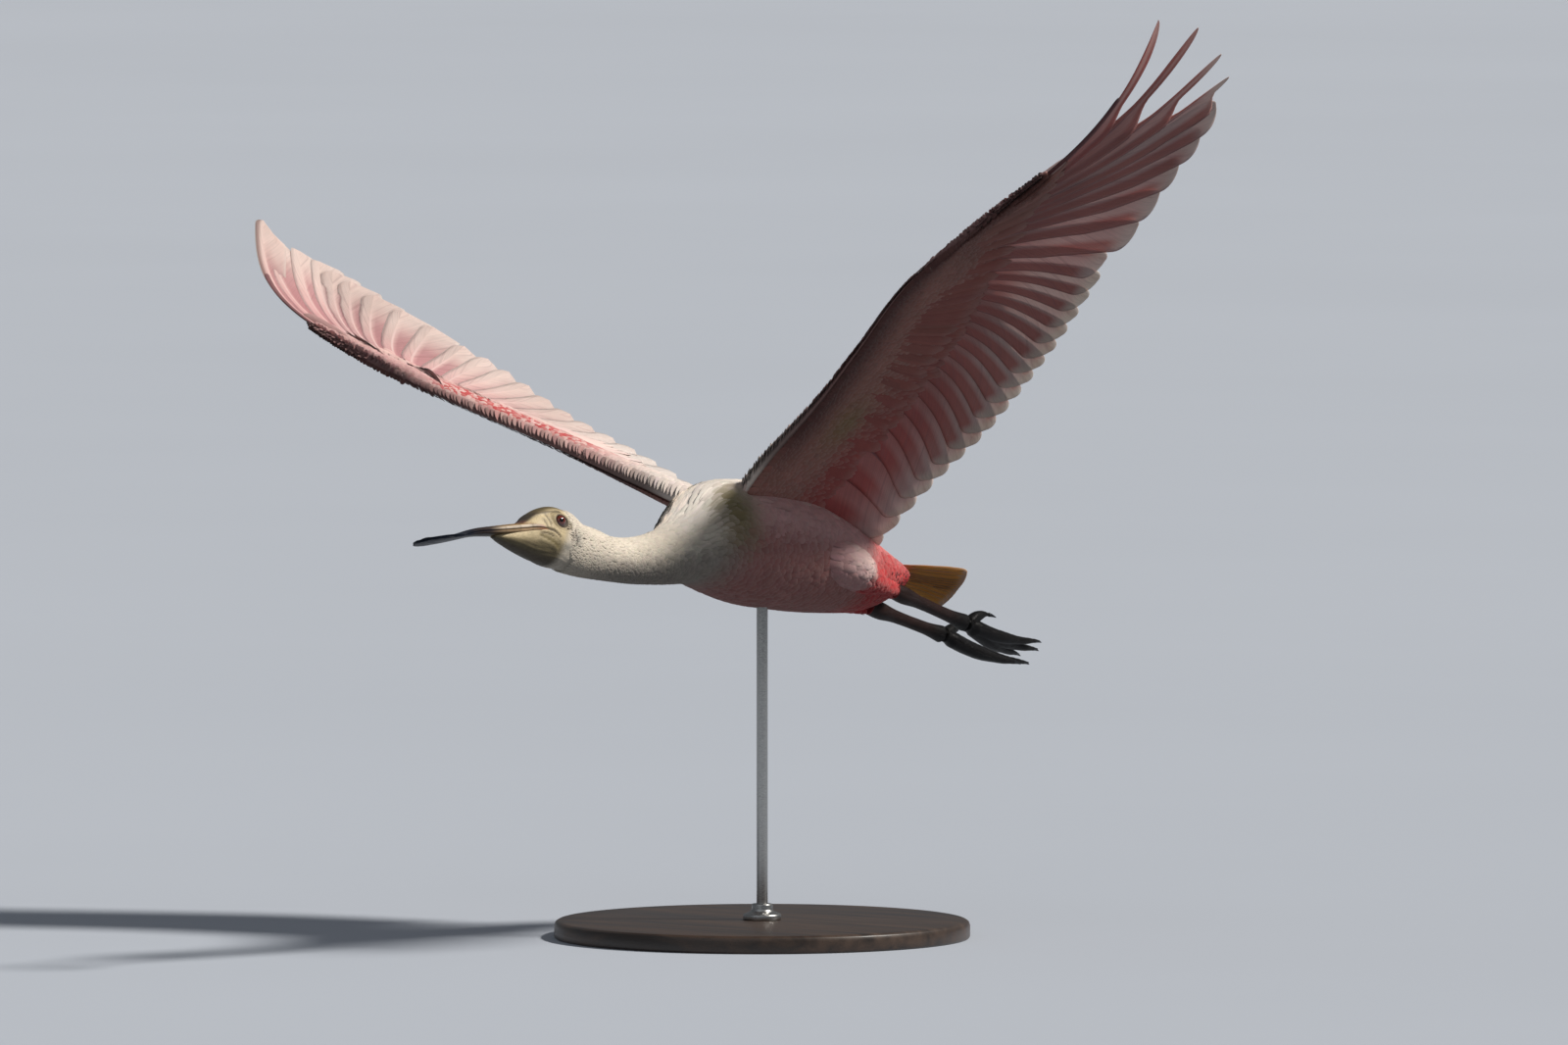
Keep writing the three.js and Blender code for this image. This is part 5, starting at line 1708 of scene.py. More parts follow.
def socket_id(tree, name):
    return next(item.identifier for item in tree.interface.items_tree if item.name == name)


PROTOTYPES = {
    "covert": ([0.36, 0.48, 0.5, 0.47, 0.34], 0.025, 0.04),
    "tuft": ([0.4, 0.5, 0.4], 0.035, 0.06),
    "plume": ([0.34, 0.46, 0.5, 0.5, 0.46, 0.34], 0.025, 0.04),
}


def coat_piece(name, plumage, stoutness=1.0):
    """Lays the gathered feathers and turns them into one plain mesh."""
    if "Lay feathers" not in bpy.data.node_groups:
        plumage_tree([vane_prototype(kind, *PROTOTYPES[kind]) for kind in KINDS])
    tree = bpy.data.node_groups["Lay feathers"]
    roots = plumage.gathered("root")
    piece = bpy.data.objects.new(name, bpy.data.meshes.new(name))
    mesh = piece.data
    mesh.from_pydata(roots.tolist(), [], [])
    bpy.context.scene.collection.objects.link(piece)
    for key in ("lie", "bend", "up", "root_uv"):
        store(mesh, key, "FLOAT_VECTOR", plumage.gathered(key))
    store(mesh, "width", "FLOAT", plumage.gathered("width"))
    store(mesh, "kind", "INT", plumage.gathered("kind"))
    store(mesh, "tint", "FLOAT_COLOR", with_alpha(np.clip(plumage.gathered("tint"), 0, 1)))
    modifier = piece.modifiers.new("feathers", "NODES")
    modifier.node_group = tree
    modifier[socket_id(tree, "Patch size")] = sizes().patch
    modifier[socket_id(tree, "Stoutness")] = stoutness
    modifier[socket_id(tree, "Finish")] = finish("feather")
    baked_mesh(piece)
    soften_shading(piece.data)
    for key in ("lie", "bend", "up", "root_uv", "width", "kind"):
        if key in piece.data.attributes:
            piece.data.attributes.remove(piece.data.attributes[key])
    piece.data.materials.clear()
    piece.data.materials.append(finish("feather"))
    return piece


def soften_shading(mesh, share=0.7):
    """Turns the feathers' normals towards the skin's own, so that the coat shades as one surface."""
    count = len(mesh.vertices)
    skin_normal, own = np.empty(count * 3, np.float32), np.empty(count * 3, np.float32)
    mesh.attributes["up"].data.foreach_get("vector", skin_normal)
    mesh.vertices.foreach_get("normal", own)
    skin_normal, own = unit(skin_normal.reshape(-1, 3)), own.reshape(-1, 3)
    facing = (skin_normal * own).sum(-1, keepdims=True) > -0.2
    softened = unit(np.where(facing, mix(own, skin_normal, share), own))
    mesh.normals_split_custom_set_from_vertices(softened.tolist())


def clear_prototypes():
    for kind in KINDS:
        if kind in bpy.data.objects:
            remove_object(bpy.data.objects[kind])
    bpy.data.node_groups.remove(bpy.data.node_groups["Lay feathers"])


# Bill
BILL_START = 262
BILL_END = 417


def bill_relief(ahead, q, upper):
    """Furrows, nostrils, ridges and nail: how far the horn stands out, in millimetres."""
    wide = np.abs(q)
    furrowed = smoothstep(ahead, 270, 290) * (1 - smoothstep(ahead, 398, 408))
    long_furrow = np.exp(-((wide - 0.66) / 0.09) ** 2) * furrowed
    if not upper:
        ridge = 0.12 * np.sin(ahead * 0.9 + 5 * wide) * (1 - smoothstep(ahead, 300, 350))
        return -0.25 * long_furrow + ridge * smoothstep(wide, 0.1, 0.4)
    nostril = np.exp(-((ahead - 287 - 4 * (wide - 0.45)) / 4.2) ** 2 - ((wide - 0.42) / 0.07) ** 2)
    plated = smoothstep(ahead, 272, 284) * (1 - smoothstep(ahead, 325, 352))
    plates = 0.22 * np.sin(ahead * 0.75 + 2.5 * np.sin(wide * 4)) * plated
    blade = smoothstep(ahead, 366, 384)
    dish = -0.55 * blade * np.exp(-((wide - 0.5) / 0.28) ** 2)
    dish = dish + 0.25 * blade * np.exp(-((wide - 0.93) / 0.07) ** 2)
    nail = 0.9 * np.exp(-((ahead - 412) / 3.6) ** 2 - (wide / 0.28) ** 2)
    return -0.42 * long_furrow - 0.8 * nostril + plates * (1 - 0.6 * wide) + dish + nail


def bill_colours(ahead, q, upper):
    wide = np.abs(q)
    shape = np.broadcast(ahead, q).shape + (3,)
    out = np.zeros(shape) + colour("horn")
    middle = 0.1 * colour("horn") + 0.9 * colour("slate")
    out = blend_colours(out, middle, smoothstep(ahead, 308, 336))
    out = tinted(out, "slate", smoothstep(ahead, 344, 368))
    near = 1 - smoothstep(ahead, 312, 338)
    brown = 0.75 * colour("lid") + 0.25 * colour("stain")
    # Painted shade: a brown stripe along the long furrow
    furrow_shade = np.exp(-((wide - (0.68 if upper else 0.8)) / 0.09) ** 2)
    out = blend_colours(out, brown, 0.9 * furrow_shade * near)
    # Painted highlights: cream lines along the upper half and its edges, faint on the lower half's edges
    highlight_cream = 0.7 * colour("white") + 0.3 * colour("face")
    out = blend_colours(out, highlight_cream, 0.8 * np.exp(-((wide - 0.44) / 0.07) ** 2) * near * (1 if upper else 0))
    out = blend_colours(out, highlight_cream, 0.75 * smoothstep(wide, 0.88, 0.94) * near * (1 if upper else 0.3))
    # Painted shade: the lower half's underside is darker near the base
    if not upper:
        out = blend_colours(out, brown, 0.8 * (1 - smoothstep(wide, 0.5, 0.8)) * near)
    spots = np.sin(ahead * 0.9) * np.sin(q * 7 + ahead * 0.31) * np.sin(ahead * 0.23 + 2)
    out = blend_colours(out, brown, 0.3 * smoothstep(spots, 0.25, 0.6) * near)
    return tinted(out, "carmine", 0.22 * (1 - smoothstep(ahead, 272, 284)))


def bill_half(name, upper):
    side = 1 if upper else -1
    ahead = np.concatenate([np.arange(BILL_START, 404, 1.5), np.linspace(404, BILL_END, 18)])
    turn = np.linspace(0, math.pi, 37)
    aheads, turns = np.meshgrid(ahead, turn, indexing="ij")
    mouth, half_width, rise, depth = bill_at(aheads)
    q = np.cos(turns)
    lift = np.sin(turns) ** 0.75
    seam = 0.12
    height = (rise if upper else depth) - seam + bill_relief(aheads, q, upper) * lift
    up = seam + height * lift + BILL_RIM * (1 - lift) * (1 - smoothstep(aheads, 405, 417) * 0.5)
    arch = place(aheads, q * half_width, mouth + side * up)
    floor_q = np.array([-0.97, -0.6, 0, 0.6, 0.97])[None, :]
    palate = place(ahead[:, None], floor_q * half_width[:, :1], mouth[:, :1] + side * seam)
    points, faces = tube(np.concatenate([arch, palate], axis=1))
    piece = mesh_object(name, world(points), faces)
    tint = bill_colours(aheads, q, upper)
    inside = np.zeros((len(ahead), 5, 3)) + 0.3 * colour("horn") + 0.7 * colour("lid")
    inside = blend_colours(inside, colour("slate"), smoothstep(ahead, 316, 336)[:, None])
    tint = np.concatenate([tint, inside], axis=1).reshape(-1, 3)
    tint = np.concatenate([tint, tint[:1], tint[-1:]])
    store(piece.data, "tint", "FLOAT_COLOR", with_alpha(tint))
    return piece


def eye_ball(name, side):
    """Eyeball with a low clear bulge; its rings run out from the pupil's middle."""
    radius = EYE["radius"]
    angle = np.concatenate([np.linspace(0.02, 1.25, 44), np.linspace(1.35, 3.12, 14)])
    turn = np.arange(48) / 48 * 2 * math.pi
    angles, turns = np.meshgrid(angle, turn, indexing="ij")
    reach = radius * (1 + 0.035 * np.exp(-((angles / 0.62) ** 4)))
    look = unit(np.array([SIDES[side] * 1.0, -0.5, 0.0]))
    across = unit(np.cross(look, np.array([0.0, 0.0, 1.0])))
    high = np.cross(across, look)
    centre = np.array([SIDES[side] * EYE["side"], -EYE["ahead"], EYE["height"]])
    points = centre + reach[..., None] * (
        np.cos(angles)[..., None] * look
        + np.sin(angles)[..., None] * (np.cos(turns)[..., None] * across + np.sin(turns)[..., None] * high)
    )
    ring_points, faces = tube(points)
    piece = mesh_object(name, world(ring_points), faces)
    out = np.sin(np.minimum(angles, math.pi / 2)) + np.maximum(angles - math.pi / 2, 0)
    values = out.reshape(-1)
    store(piece.data, "out", "FLOAT", np.concatenate([values, [0.0, 3.0]]))
    values = turns.reshape(-1)
    store(piece.data, "round", "FLOAT", np.concatenate([values, [0.0, 0.0]]))
    return piece


def claw(limb, length, radius):
    """Curved claw that grows out of a toe's end."""
    t, turn = np.meshgrid(np.linspace(0, 1, 12), np.arange(10) / 10 * 2 * math.pi, indexing="ij")
    along, up, across = [axis[0] for axis in limb.frame(np.array([0.93]))]
    root = limb.centre(np.array([0.93]))[0]
    path = root + along * (t * length)[..., None] - up * (0.16 * length * t**2)[..., None]
    size = radius * (1 - t) ** 0.7 + 0.12
    ring = np.cos(turn)[..., None] * across * 0.8 + np.sin(turn)[..., None] * up
    return tube(path + ring * size[..., None])


# Finishes
def set_input(node, name, value):
    socket = node.inputs[name]
    if isinstance(value, tuple) and len(value) == 3 and len(socket.default_value) == 4:
        value = (*value, 1)
    socket.default_value = value


class Net:
    """Short way to add nodes to a shader tree and join them."""

    def __init__(self, tree):
        self.tree = tree

    def add(self, kind, inputs=None, **settings):
        node = self.tree.nodes.new(kind)
        for key, value in settings.items():
            setattr(node, key, value)
        for name, value in (inputs or {}).items():
            if isinstance(value, bpy.types.NodeSocket):
                self.tree.links.new(value, node.inputs[name])
            else:
                set_input(node, name, value)
        return node

    def math(self, operation, first, second=0.0):
        return self.add("ShaderNodeMath", {0: first, 1: second}, operation=operation).outputs[0]

    def attribute(self, name, output="Fac"):
        return self.add("ShaderNodeAttribute", attribute_name=name).outputs[output]

    def range(self, value, low, high, to_low, to_high, smooth=False):
        node = self.add(
            "ShaderNodeMapRange",
            {"Value": value, "From Min": low, "From Max": high, "To Min": to_low, "To Max": to_high},
        )
        node.interpolation_type = "SMOOTHSTEP" if smooth else "LINEAR"
        node.clamp = True
        return node.outputs["Result"]

    def mix(self, share, first, second, blend="MIX"):
        node = self.add("ShaderNodeMix", data_type="RGBA", blend_type=blend)
        for index, value in ((0, share), (6, first), (7, second)):
            socket = node.inputs[index]
            if isinstance(value, bpy.types.NodeSocket):
                self.tree.links.new(value, socket)
            elif index == 0:
                socket.default_value = value
            else:
                socket.default_value = (*value[:3], 1)
        return node.outputs[2]

    def noise(self, vector, scale, detail, **more):
        inputs = {"Vector": vector, "Scale": scale, "Detail": detail, **more}
        return self.add("ShaderNodeTexNoise", inputs).outputs[0]

    def stretched(self, vector, scale):
        return self.add("ShaderNodeMapping", {"Vector": vector, "Scale": scale}).outputs[0]

    def group(self, name, inputs):
        return self.add("ShaderNodeGroup", inputs, node_tree=shared_group(name))


def new_group(name, inputs, outputs):
    tree = bpy.data.node_groups.new(name, "ShaderNodeTree")
    for key, kind, value in inputs:
        socket = tree.interface.new_socket(key, in_out="INPUT", socket_type=f"NodeSocket{kind}")
        if value is not None:
            socket.default_value = value
    for key in outputs:
        tree.interface.new_socket(key, in_out="OUTPUT", socket_type="NodeSocketFloat")
    net = Net(tree)
    return net, net.add("NodeGroupInput").outputs, net.add("NodeGroupOutput").inputs


def barbs_group():
    """Fine slanting barbs of a vane, with the gaps where they have parted."""
    net, start, end = new_group(
        "Barbs",
        [("Along", "Float", 0.0), ("Across", "Float", 0.0), ("Tone", "Float", 0.0), ("Count", "Float", 60.0)],
        ["Streak", "Parting"],
    )
    wide = net.math("ABSOLUTE", start["Across"])
    slant = net.math("MULTIPLY_ADD", wide, -0.22)
    slant_node = slant.node
    net.tree.links.new(start["Along"], slant_node.inputs[2])
    phase = net.math("MULTIPLY", slant, start["Count"])
    fine_place = net.add(
        "ShaderNodeCombineXYZ",
        {"X": phase, "Y": net.math("MULTIPLY", start["Across"], 0.8), "Z": start["Tone"]},
    )
    fine = net.noise(fine_place.outputs[0], 1.0, 3.0, Roughness=0.65)
    broad_place = net.add(
        "ShaderNodeCombineXYZ",
        {
            "X": net.math("MULTIPLY", phase, 0.16),
            "Y": net.math("MULTIPLY", start["Across"], 0.3),
            "Z": start["Tone"],
        },
    )
    broad = net.noise(broad_place.outputs[0], 1.0, 2.0)
    net.tree.links.new(net.range(fine, 0.3, 0.7, 0, 1), end["Streak"])
    net.tree.links.new(net.range(broad, 0.56, 0.66, 0, 1, True), end["Parting"])


def mottle_group():
    """Soft cloudy change of tone over a surface, at two scales."""
    net, start, end = new_group(
        "Mottle",
        [("Vector", "Vector", None), ("Coarse", "Float", 40.0), ("Fine", "Float", 300.0)],
        ["Cloud", "Grain"],
    )
    coarse = net.noise(start["Vector"], start["Coarse"], 4.0)
    fine = net.noise(start["Vector"], start["Fine"], 3.0, Roughness=0.6)
    net.tree.links.new(net.range(coarse, 0.3, 0.7, 0, 1), end["Cloud"])
    net.tree.links.new(net.range(fine, 0.3, 0.7, 0, 1), end["Grain"])


def shared_group(name):
    if name not in bpy.data.node_groups:
        {"Barbs": barbs_group, "Mottle": mottle_group}[name]()
    return bpy.data.node_groups[name]


def new_finish(name, roughness, **fixed):
    """Material with its net and shader; the fixed values are set on the shader's own sockets."""
    material = bpy.data.materials.new(name)
    material.use_nodes = True
    net = Net(material.node_tree)
    shader = next(node for node in material.node_tree.nodes if node.type == "BSDF_PRINCIPLED")
    shader.inputs["Roughness"].default_value = roughness
    for key, value in fixed.items():
        set_input(shader, key.replace("_", " "), value)
    return net, shader


def join_shader(net, shader, colour_out, height=None, distance=0.0002, strength=0.5, roughness=None):
    net.tree.links.new(colour_out, shader.inputs["Base Color"])
    if roughness is not None:
        net.tree.links.new(roughness, shader.inputs["Roughness"])
    if height is not None:
        bump = net.add("ShaderNodeBump", {"Height": height, "Distance": distance, "Strength": strength})
        net.tree.links.new(bump.outputs["Normal"], shader.inputs["Normal"])


def shaded(net, colour_in, value, low, high):
    """A colour made darker or lighter by a value between 0 and 1."""
    tone = net.range(value, 0, 1, low, high)
    grey = net.add("ShaderNodeCombineColor", {0: tone, 1: tone, 2: tone}).outputs[0]
    return net.mix(1.0, colour_in, grey, "MULTIPLY")


def object_place(net):
    return net.add("ShaderNodeTexCoord").outputs["Object"]


def feather_finish():
    net, shader = new_finish("feather", 0.8, Sheen_Weight=0.12, Sheen_Roughness=0.5, Specular_IOR_Level=0.25)
    along, across = net.attribute("along"), net.attribute("across")
    mottle = net.group("Mottle", {"Vector": object_place(net), "Coarse": 60.0, "Fine": 900.0})
    barb_tone = mottle.outputs["Cloud"]
    barbs = net.group("Barbs", {"Along": along, "Across": across, "Tone": barb_tone, "Count": 26.0})
    tint = net.attribute("tint", "Color")
    out = shaded(net, tint, barbs.outputs["Streak"], 0.92, 1.04)
    out = shaded(net, out, along, 0.94, 1.03)
    out = shaded(net, out, mottle.outputs["Cloud"], 0.95, 1.04)
    tip = net.range(along, 0.72, 1.0, 0, 0.14, True)
    out = net.mix(tip, out, tuple(0.5 * colour("white") + 0.5 * colour("pale")))
    join_shader(net, shader, out, barbs.outputs["Streak"], 0.00025, 0.35)


def vane_finish():
    glow = {"Subsurface_Weight": 0.5, "Subsurface_Scale": 0.002, "Subsurface_Radius": (1, 0.92, 0.9)}
    net, shader = new_finish("vane", 0.58, Specular_IOR_Level=0.3, **glow)
    along, across, above = net.attribute("along"), net.attribute("across"), net.attribute("above")
    tone = net.attribute("tone")
    barb_tone = net.math("MULTIPLY", tone, 9.0)
    barbs = net.group("Barbs", {"Along": along, "Across": across, "Tone": barb_tone, "Count": 150.0})
    mottle = net.group("Mottle", {"Vector": object_place(net), "Coarse": 28.0, "Fine": 600.0})
    tint = net.attribute("tint", "Color")
    out = shaded(net, tint, barbs.outputs["Streak"], 0.84, 1.07)
    out = shaded(net, out, tone, 0.92, 1.05)
    out = shaded(net, out, mottle.outputs["Cloud"], 0.93, 1.06)
    # Painted shade in the gaps where the barbs have parted
    out = net.mix(net.math("MULTIPLY", barbs.outputs["Parting"], 0.22), out, tuple(colour("dusk") * 0.7))
    wide = net.math("ABSOLUTE", across)
    rim = net.math("MULTIPLY", net.range(wide, 0.86, 0.98, 0, 0.6, True), above)
    out = net.mix(rim, out, tuple(0.6 * colour("white") + 0.4 * colour("pale")))
    below = net.math("SUBTRACT", 1.0, above)
    # Painted shadow: a dark line along the inner edge of each vane seen from below
    shadow_rim = net.math("MULTIPLY", net.range(across, -1.0, -0.9, 0.55, 0, True), below)
    out = net.mix(shadow_rim, out, tuple(colour("edge")))
    middle_line = net.range(wide, 0.035, 0.085, 1, 0, True)
    quill = net.math("MULTIPLY", middle_line, net.range(along, 0.75, 0.92, 1, 0, True))
    pale_quill = net.mix(0.5, tuple(colour("white")), tuple(colour("pink")))
    quill_colour = net.mix(above, tuple(colour("dusk") * 0.6), pale_quill)
    out = net.mix(net.math("MULTIPLY", quill, 0.8), out, quill_colour)
    join_shader(net, shader, out, barbs.outputs["Streak"], 0.0002, 0.4)


def bare_skin_finish():
    net, shader = new_finish("bare face", 0.55, Specular_IOR_Level=0.4)
    here = object_place(net)
    mottle = net.group("Mottle", {"Vector": here, "Coarse": 130.0, "Fine": 900.0})
    pores = net.add("ShaderNodeTexVoronoi", {"Vector": here, "Scale": 1300.0}).outputs["Distance"]
    tint = net.attribute("tint", "Color")
    out = shaded(net, tint, mottle.outputs["Cloud"], 0.8, 1.1)
    out = net.mix(net.range(mottle.outputs["Grain"], 0.55, 0.95, 0, 0.35), out, tuple(0.6 * colour("crown")))
    height = net.math("MULTIPLY_ADD", pores, 0.5)
    net.tree.links.new(mottle.outputs["Grain"], height.node.inputs[2])
    rough = net.range(mottle.outputs["Grain"], 0, 1, 0.42, 0.66)
    join_shader(net, shader, out, height, 0.0003, 0.5, rough)


def under_skin_finish():
    net, shader = new_finish("skin under feathers", 0.85, Specular_IOR_Level=0.2)
    mottle = net.group("Mottle", {"Vector": object_place(net), "Coarse": 90.0, "Fine": 1200.0})
    out = shaded(net, net.attribute("tint", "Color"), mottle.outputs["Cloud"], 0.84, 1.0)
    join_shader(net, shader, out, mottle.outputs["Grain"], 0.0004, 0.5)


def leg_finish():
    net, shader = new_finish("scaly leg", 0.38, Specular_IOR_Level=0.15)
    here = object_place(net)
    mottle = net.group("Mottle", {"Vector": here, "Coarse": 110.0, "Fine": 1000.0})
    cells = net.add("ShaderNodeTexVoronoi", {"Vector": here, "Scale": 620.0}, feature="DISTANCE_TO_EDGE")
    seam = net.range(cells.outputs["Distance"], 0.0, 0.12, 0, 1, True)
    out = shaded(net, net.attribute("tint", "Color"), mottle.outputs["Cloud"], 0.7, 1.35)
    out = shaded(net, out, seam, 0.55, 1.08)
    rough = net.range(mottle.outputs["Grain"], 0, 1, 0.32, 0.5)
    join_shader(net, shader, out, seam, 0.0003, 0.7, rough)


def horn_finish():
    net, shader = new_finish("horn", 0.4, Specular_IOR_Level=0.08)
    here = object_place(net)
    mottle = net.group("Mottle", {"Vector": here, "Coarse": 70.0, "Fine": 900.0})
    streak = net.noise(net.stretched(here, (700.0, 60.0, 700.0)), 1.0, 3.0)
    out = shaded(net, net.attribute("tint", "Color"), mottle.outputs["Cloud"], 0.74, 1.14)
    out = shaded(net, out, net.range(streak, 0.3, 0.7, 0, 1), 0.86, 1.08)
    rough = net.range(streak, 0.3, 0.7, 0.28, 0.5)
    join_shader(net, shader, out, mottle.outputs["Grain"], 0.0002, 0.35, rough)


def eye_finish():
    net, shader = new_finish("eyeball", 0.08, Coat_Weight=1.0, Coat_Roughness=0.02)
    reach = net.attribute("out")
    spoke_place = net.add(
        "ShaderNodeCombineXYZ",
        {
            "X": net.math("MULTIPLY", net.attribute("round"), 7.0),
            "Y": net.math("MULTIPLY", reach, 3.0),
            "Z": 0.0,
        },
    )
    spokes = net.noise(spoke_place.outputs[0], 2.0, 3.0)
    iris = net.mix(net.range(reach, 0.35, 0.8, 0, 1), tuple(colour("iris") * 1.4), tuple(colour("iris") * 0.5))
    iris = shaded(net, iris, spokes, 0.6, 1.4)
    pupil = net.range(reach, 0.3, 0.34, 1, 0, True)
    white = net.range(reach, 0.80, 0.86, 0, 1, True)
    result = net.mix(pupil, iris, (0.004, 0.003, 0.003))
    result = net.mix(white, result, (0.03, 0.018, 0.012))
    join_shader(net, shader, result)


def claw_finish():
    net, shader = new_finish("claw", 0.3, Specular_IOR_Level=0.5)
    mottle = net.group("Mottle", {"Vector": object_place(net), "Coarse": 200.0, "Fine": 1500.0})
    dark_horn = net.mix(0.5, tuple(colour("foot")), tuple(colour("slate") * 0.5))
    out = shaded(net, dark_horn, mottle.outputs["Cloud"], 0.6, 1.5)
    join_shader(net, shader, out, mottle.outputs["Grain"], 0.0001, 0.3)


def wood_finish():
    net, shader = new_finish("dark wood", 0.42, Coat_Weight=0.3, Coat_Roughness=0.3)
    here = object_place(net)
    rings = net.noise(net.stretched(here, (3.0, 42.0, 42.0)), 1.6, 5.0, Distortion=0.6)
    pores = net.noise(net.stretched(here, (60.0, 1100.0, 1100.0)), 1.0, 2.0)
    out = net.mix(net.range(rings, 0.35, 0.65, 0, 1), linear_colour(44, 34, 28), linear_colour(78, 60, 48))
    out = net.mix(net.range(pores, 0.58, 0.7, 0, 0.6), out, linear_colour(24, 18, 15))
    rough = net.range(rings, 0.3, 0.7, 0.36, 0.5)
    join_shader(net, shader, out, pores, 0.0002, 0.3, rough)


def steel_finish():
    net, shader = new_finish("brushed steel", 0.3, Metallic=1.0)
    lines = net.noise(net.stretched(object_place(net), (400.0, 400.0, 9000.0)), 1.0, 2.0)
    out = net.mix(net.range(lines, 0.3, 0.7, 0, 1), linear_colour(150, 150, 148), linear_colour(198, 198, 196))
    join_shader(net, shader, out, lines, 0.00005, 0.3, net.range(lines, 0.3, 0.7, 0.22, 0.4))


def floor_finish():
    net, shader = new_finish("floor", 0.9, Specular_IOR_Level=0.1)
    mottle = net.group("Mottle", {"Vector": object_place(net), "Coarse": 0.6, "Fine": 90.0})
    base = tuple(bpy.context.scene.stage_settings.floor[:])
    out = shaded(net, base, mottle.outputs["Cloud"], 0.985, 1.015)
    join_shader(net, shader, out)


FINISHES = {
    "feather": feather_finish,
    "vane": vane_finish,
    "bare face": bare_skin_finish,
    "skin under feathers": under_skin_finish,
    "scaly leg": leg_finish,
    "horn": horn_finish,
    "eyeball": eye_finish,
    "claw": claw_finish,
    "dark wood": wood_finish,
    "brushed steel": steel_finish,
    "floor": floor_finish,
}


def finish(name):
    if name not in bpy.data.materials:
        FINISHES[name]()
    return bpy.data.materials[name]


# Marking the skin
def marked_places():
    """Places over the whole bird with their colours, for the skin to take the nearest."""
    places, colours, parts = [], [], []

    def add(points, tint, part):
        places.append(points.reshape(-1, 3))
        colours.append(tint.reshape(-1, 3))
        parts.append(np.full(points.size // 3, part))

    turn = np.linspace(-math.pi, math.pi, 70)[:-1]
    ahead, turn = np.meshgrid(np.arange(204, TRUNK_END, -3.0), turn, indexing="ij")
    points = body_point(ahead, turn)
    add(points, body_colours(ahead, turn, points[..., 0], points[..., 2]), 1)
    turn = np.linspace(-math.pi, math.pi, 130)[:-1]
    ahead, turn = np.meshgrid(np.arange(322, 204, -0.9), turn, indexing="ij")
    points = body_point(ahead, turn)
    bare = ~head_border(ahead, turn)
    add(points, body_colours(ahead, turn, points[..., 0], points[..., 2]), 0)
    parts[-1] = np.where(bare.ravel(), 0, 1)
    for side, wing in WINGS.items():
        span, x = np.meshgrid(np.arange(-20, 412, 4.0), np.linspace(0, 1, 24), indexing="ij")
        for layer in (1, -1):
            add(wing.flesh(span, x, layer), wing_colours(span, x, layer), 1)
    for side, leg in LEGS.items():
        t, turn = np.meshgrid(np.linspace(0.05, 1, 60), np.linspace(0, 2 * math.pi, 20), indexing="ij")
        add(leg.thigh.point(t, turn), thigh_colours(t, turn), 1)
        for limb, name in [(leg.shank, "leg")] + [(toe, "foot") for toe in leg.toes]:
            share = smoothstep(t, 0.6, 1) if name == "leg" else 1 + 0 * t
            tint = blend_colours(np.zeros(t.shape + (3,)) + colour("leg"), colour("foot"), share)
            add(limb.point(t, turn), tint, 2)
    return np.concatenate(places), np.concatenate(colours), np.concatenate(parts)


def paint_skin(piece):
    places, colours, parts = marked_places()
    tree = KDTree(len(places))
    for k, point in enumerate(places):
        tree.insert(point, k)
    tree.balance()
    here = bird_frame(coordinates(piece.data))
    nearest = np.array([tree.find(point)[1] for point in here])
    ahead, side, height = -here[:, 1], here[:, 0], here[:, 2]
    tint = colours[nearest]
    part = parts[nearest]
    head = (ahead > 206) & (np.abs(side) < 24)
    top, bottom, half_width = body_at(ahead)
    turn = np.arctan2((height - (top + bottom) / 2) / ((top - bottom) / 2), side / half_width)
    exact = body_colours(ahead, turn, side, height)
    tint[head] = exact[head]
    part[head] = np.where(head_border(ahead, turn)[head], 1, 0)
    store(piece.data, "tint", "FLOAT_COLOR", with_alpha(np.clip(tint, 0, 1)))
    piece.data.materials.clear()
    for name in ("bare face", "skin under feathers", "scaly leg"):
        piece.data.materials.append(finish(name))
    corners = np.array([part[list(polygon.vertices)].max() for polygon in piece.data.polygons])
    piece.data.polygons.foreach_set("material_index", corners.astype(np.int32))


class SPOONBILL_OT_skin(bpy.types.Operator):
    """One skin over head, neck, trunk, wings, legs and feet."""

    bl_idname = "spoonbill.skin"
    bl_label = "Skin"

    def execute(self, context):
        skin = mesh_object("skin", *[part if k else world(part) for k, part in enumerate(body_skin())])
        shells = [wing_skin(wing) for wing in WINGS.values()]
        for leg in LEGS.values():
            shells.append(limb_skin(leg.thigh, 60, 28, -2.6))
            shank = scutes(3.4, leg.shank.length, 0.45)
            shells.append(limb_skin(leg.shank, 130, 24, -0.5, shank))
            for toe in leg.toes:
                shells.append(limb_skin(toe, 56, 16, 0, webbed(scutes(2.9, toe.length, 0.4))))
        for points, faces in shells:
            union(skin, mesh_object("shell", world(points), faces))
        soften_joins(skin)
        skin.data.shade_smooth()
        paint_skin(skin)
        nodes = ["head", "neck_upper", "neck_lower", "trunk"]
        for side in SIDES:
            nodes += [f"thigh_{side}", f"shank_{side}", f"foot_{side}", f"wing_arm_{side}", f"wing_hand_{side}"]
        finish_piece(skin, "bare_skin", *nodes)
        return {"FINISHED"}


class SPOONBILL_OT_bill(bpy.types.Operator):
    """Upper and lower halves of the spoon-shaped bill."""

    bl_idname = "spoonbill.bill"
    bl_label = "Bill"

    def execute(self, context):
        for name, upper, node in (("bill_top", True, "bill_upper"), ("bill_bottom", False, "bill_lower")):
            piece = bill_half(name, upper)
            piece.data.materials.append(finish("horn"))
            finish_piece(piece, "bill_horn", node)
        return {"FINISHED"}


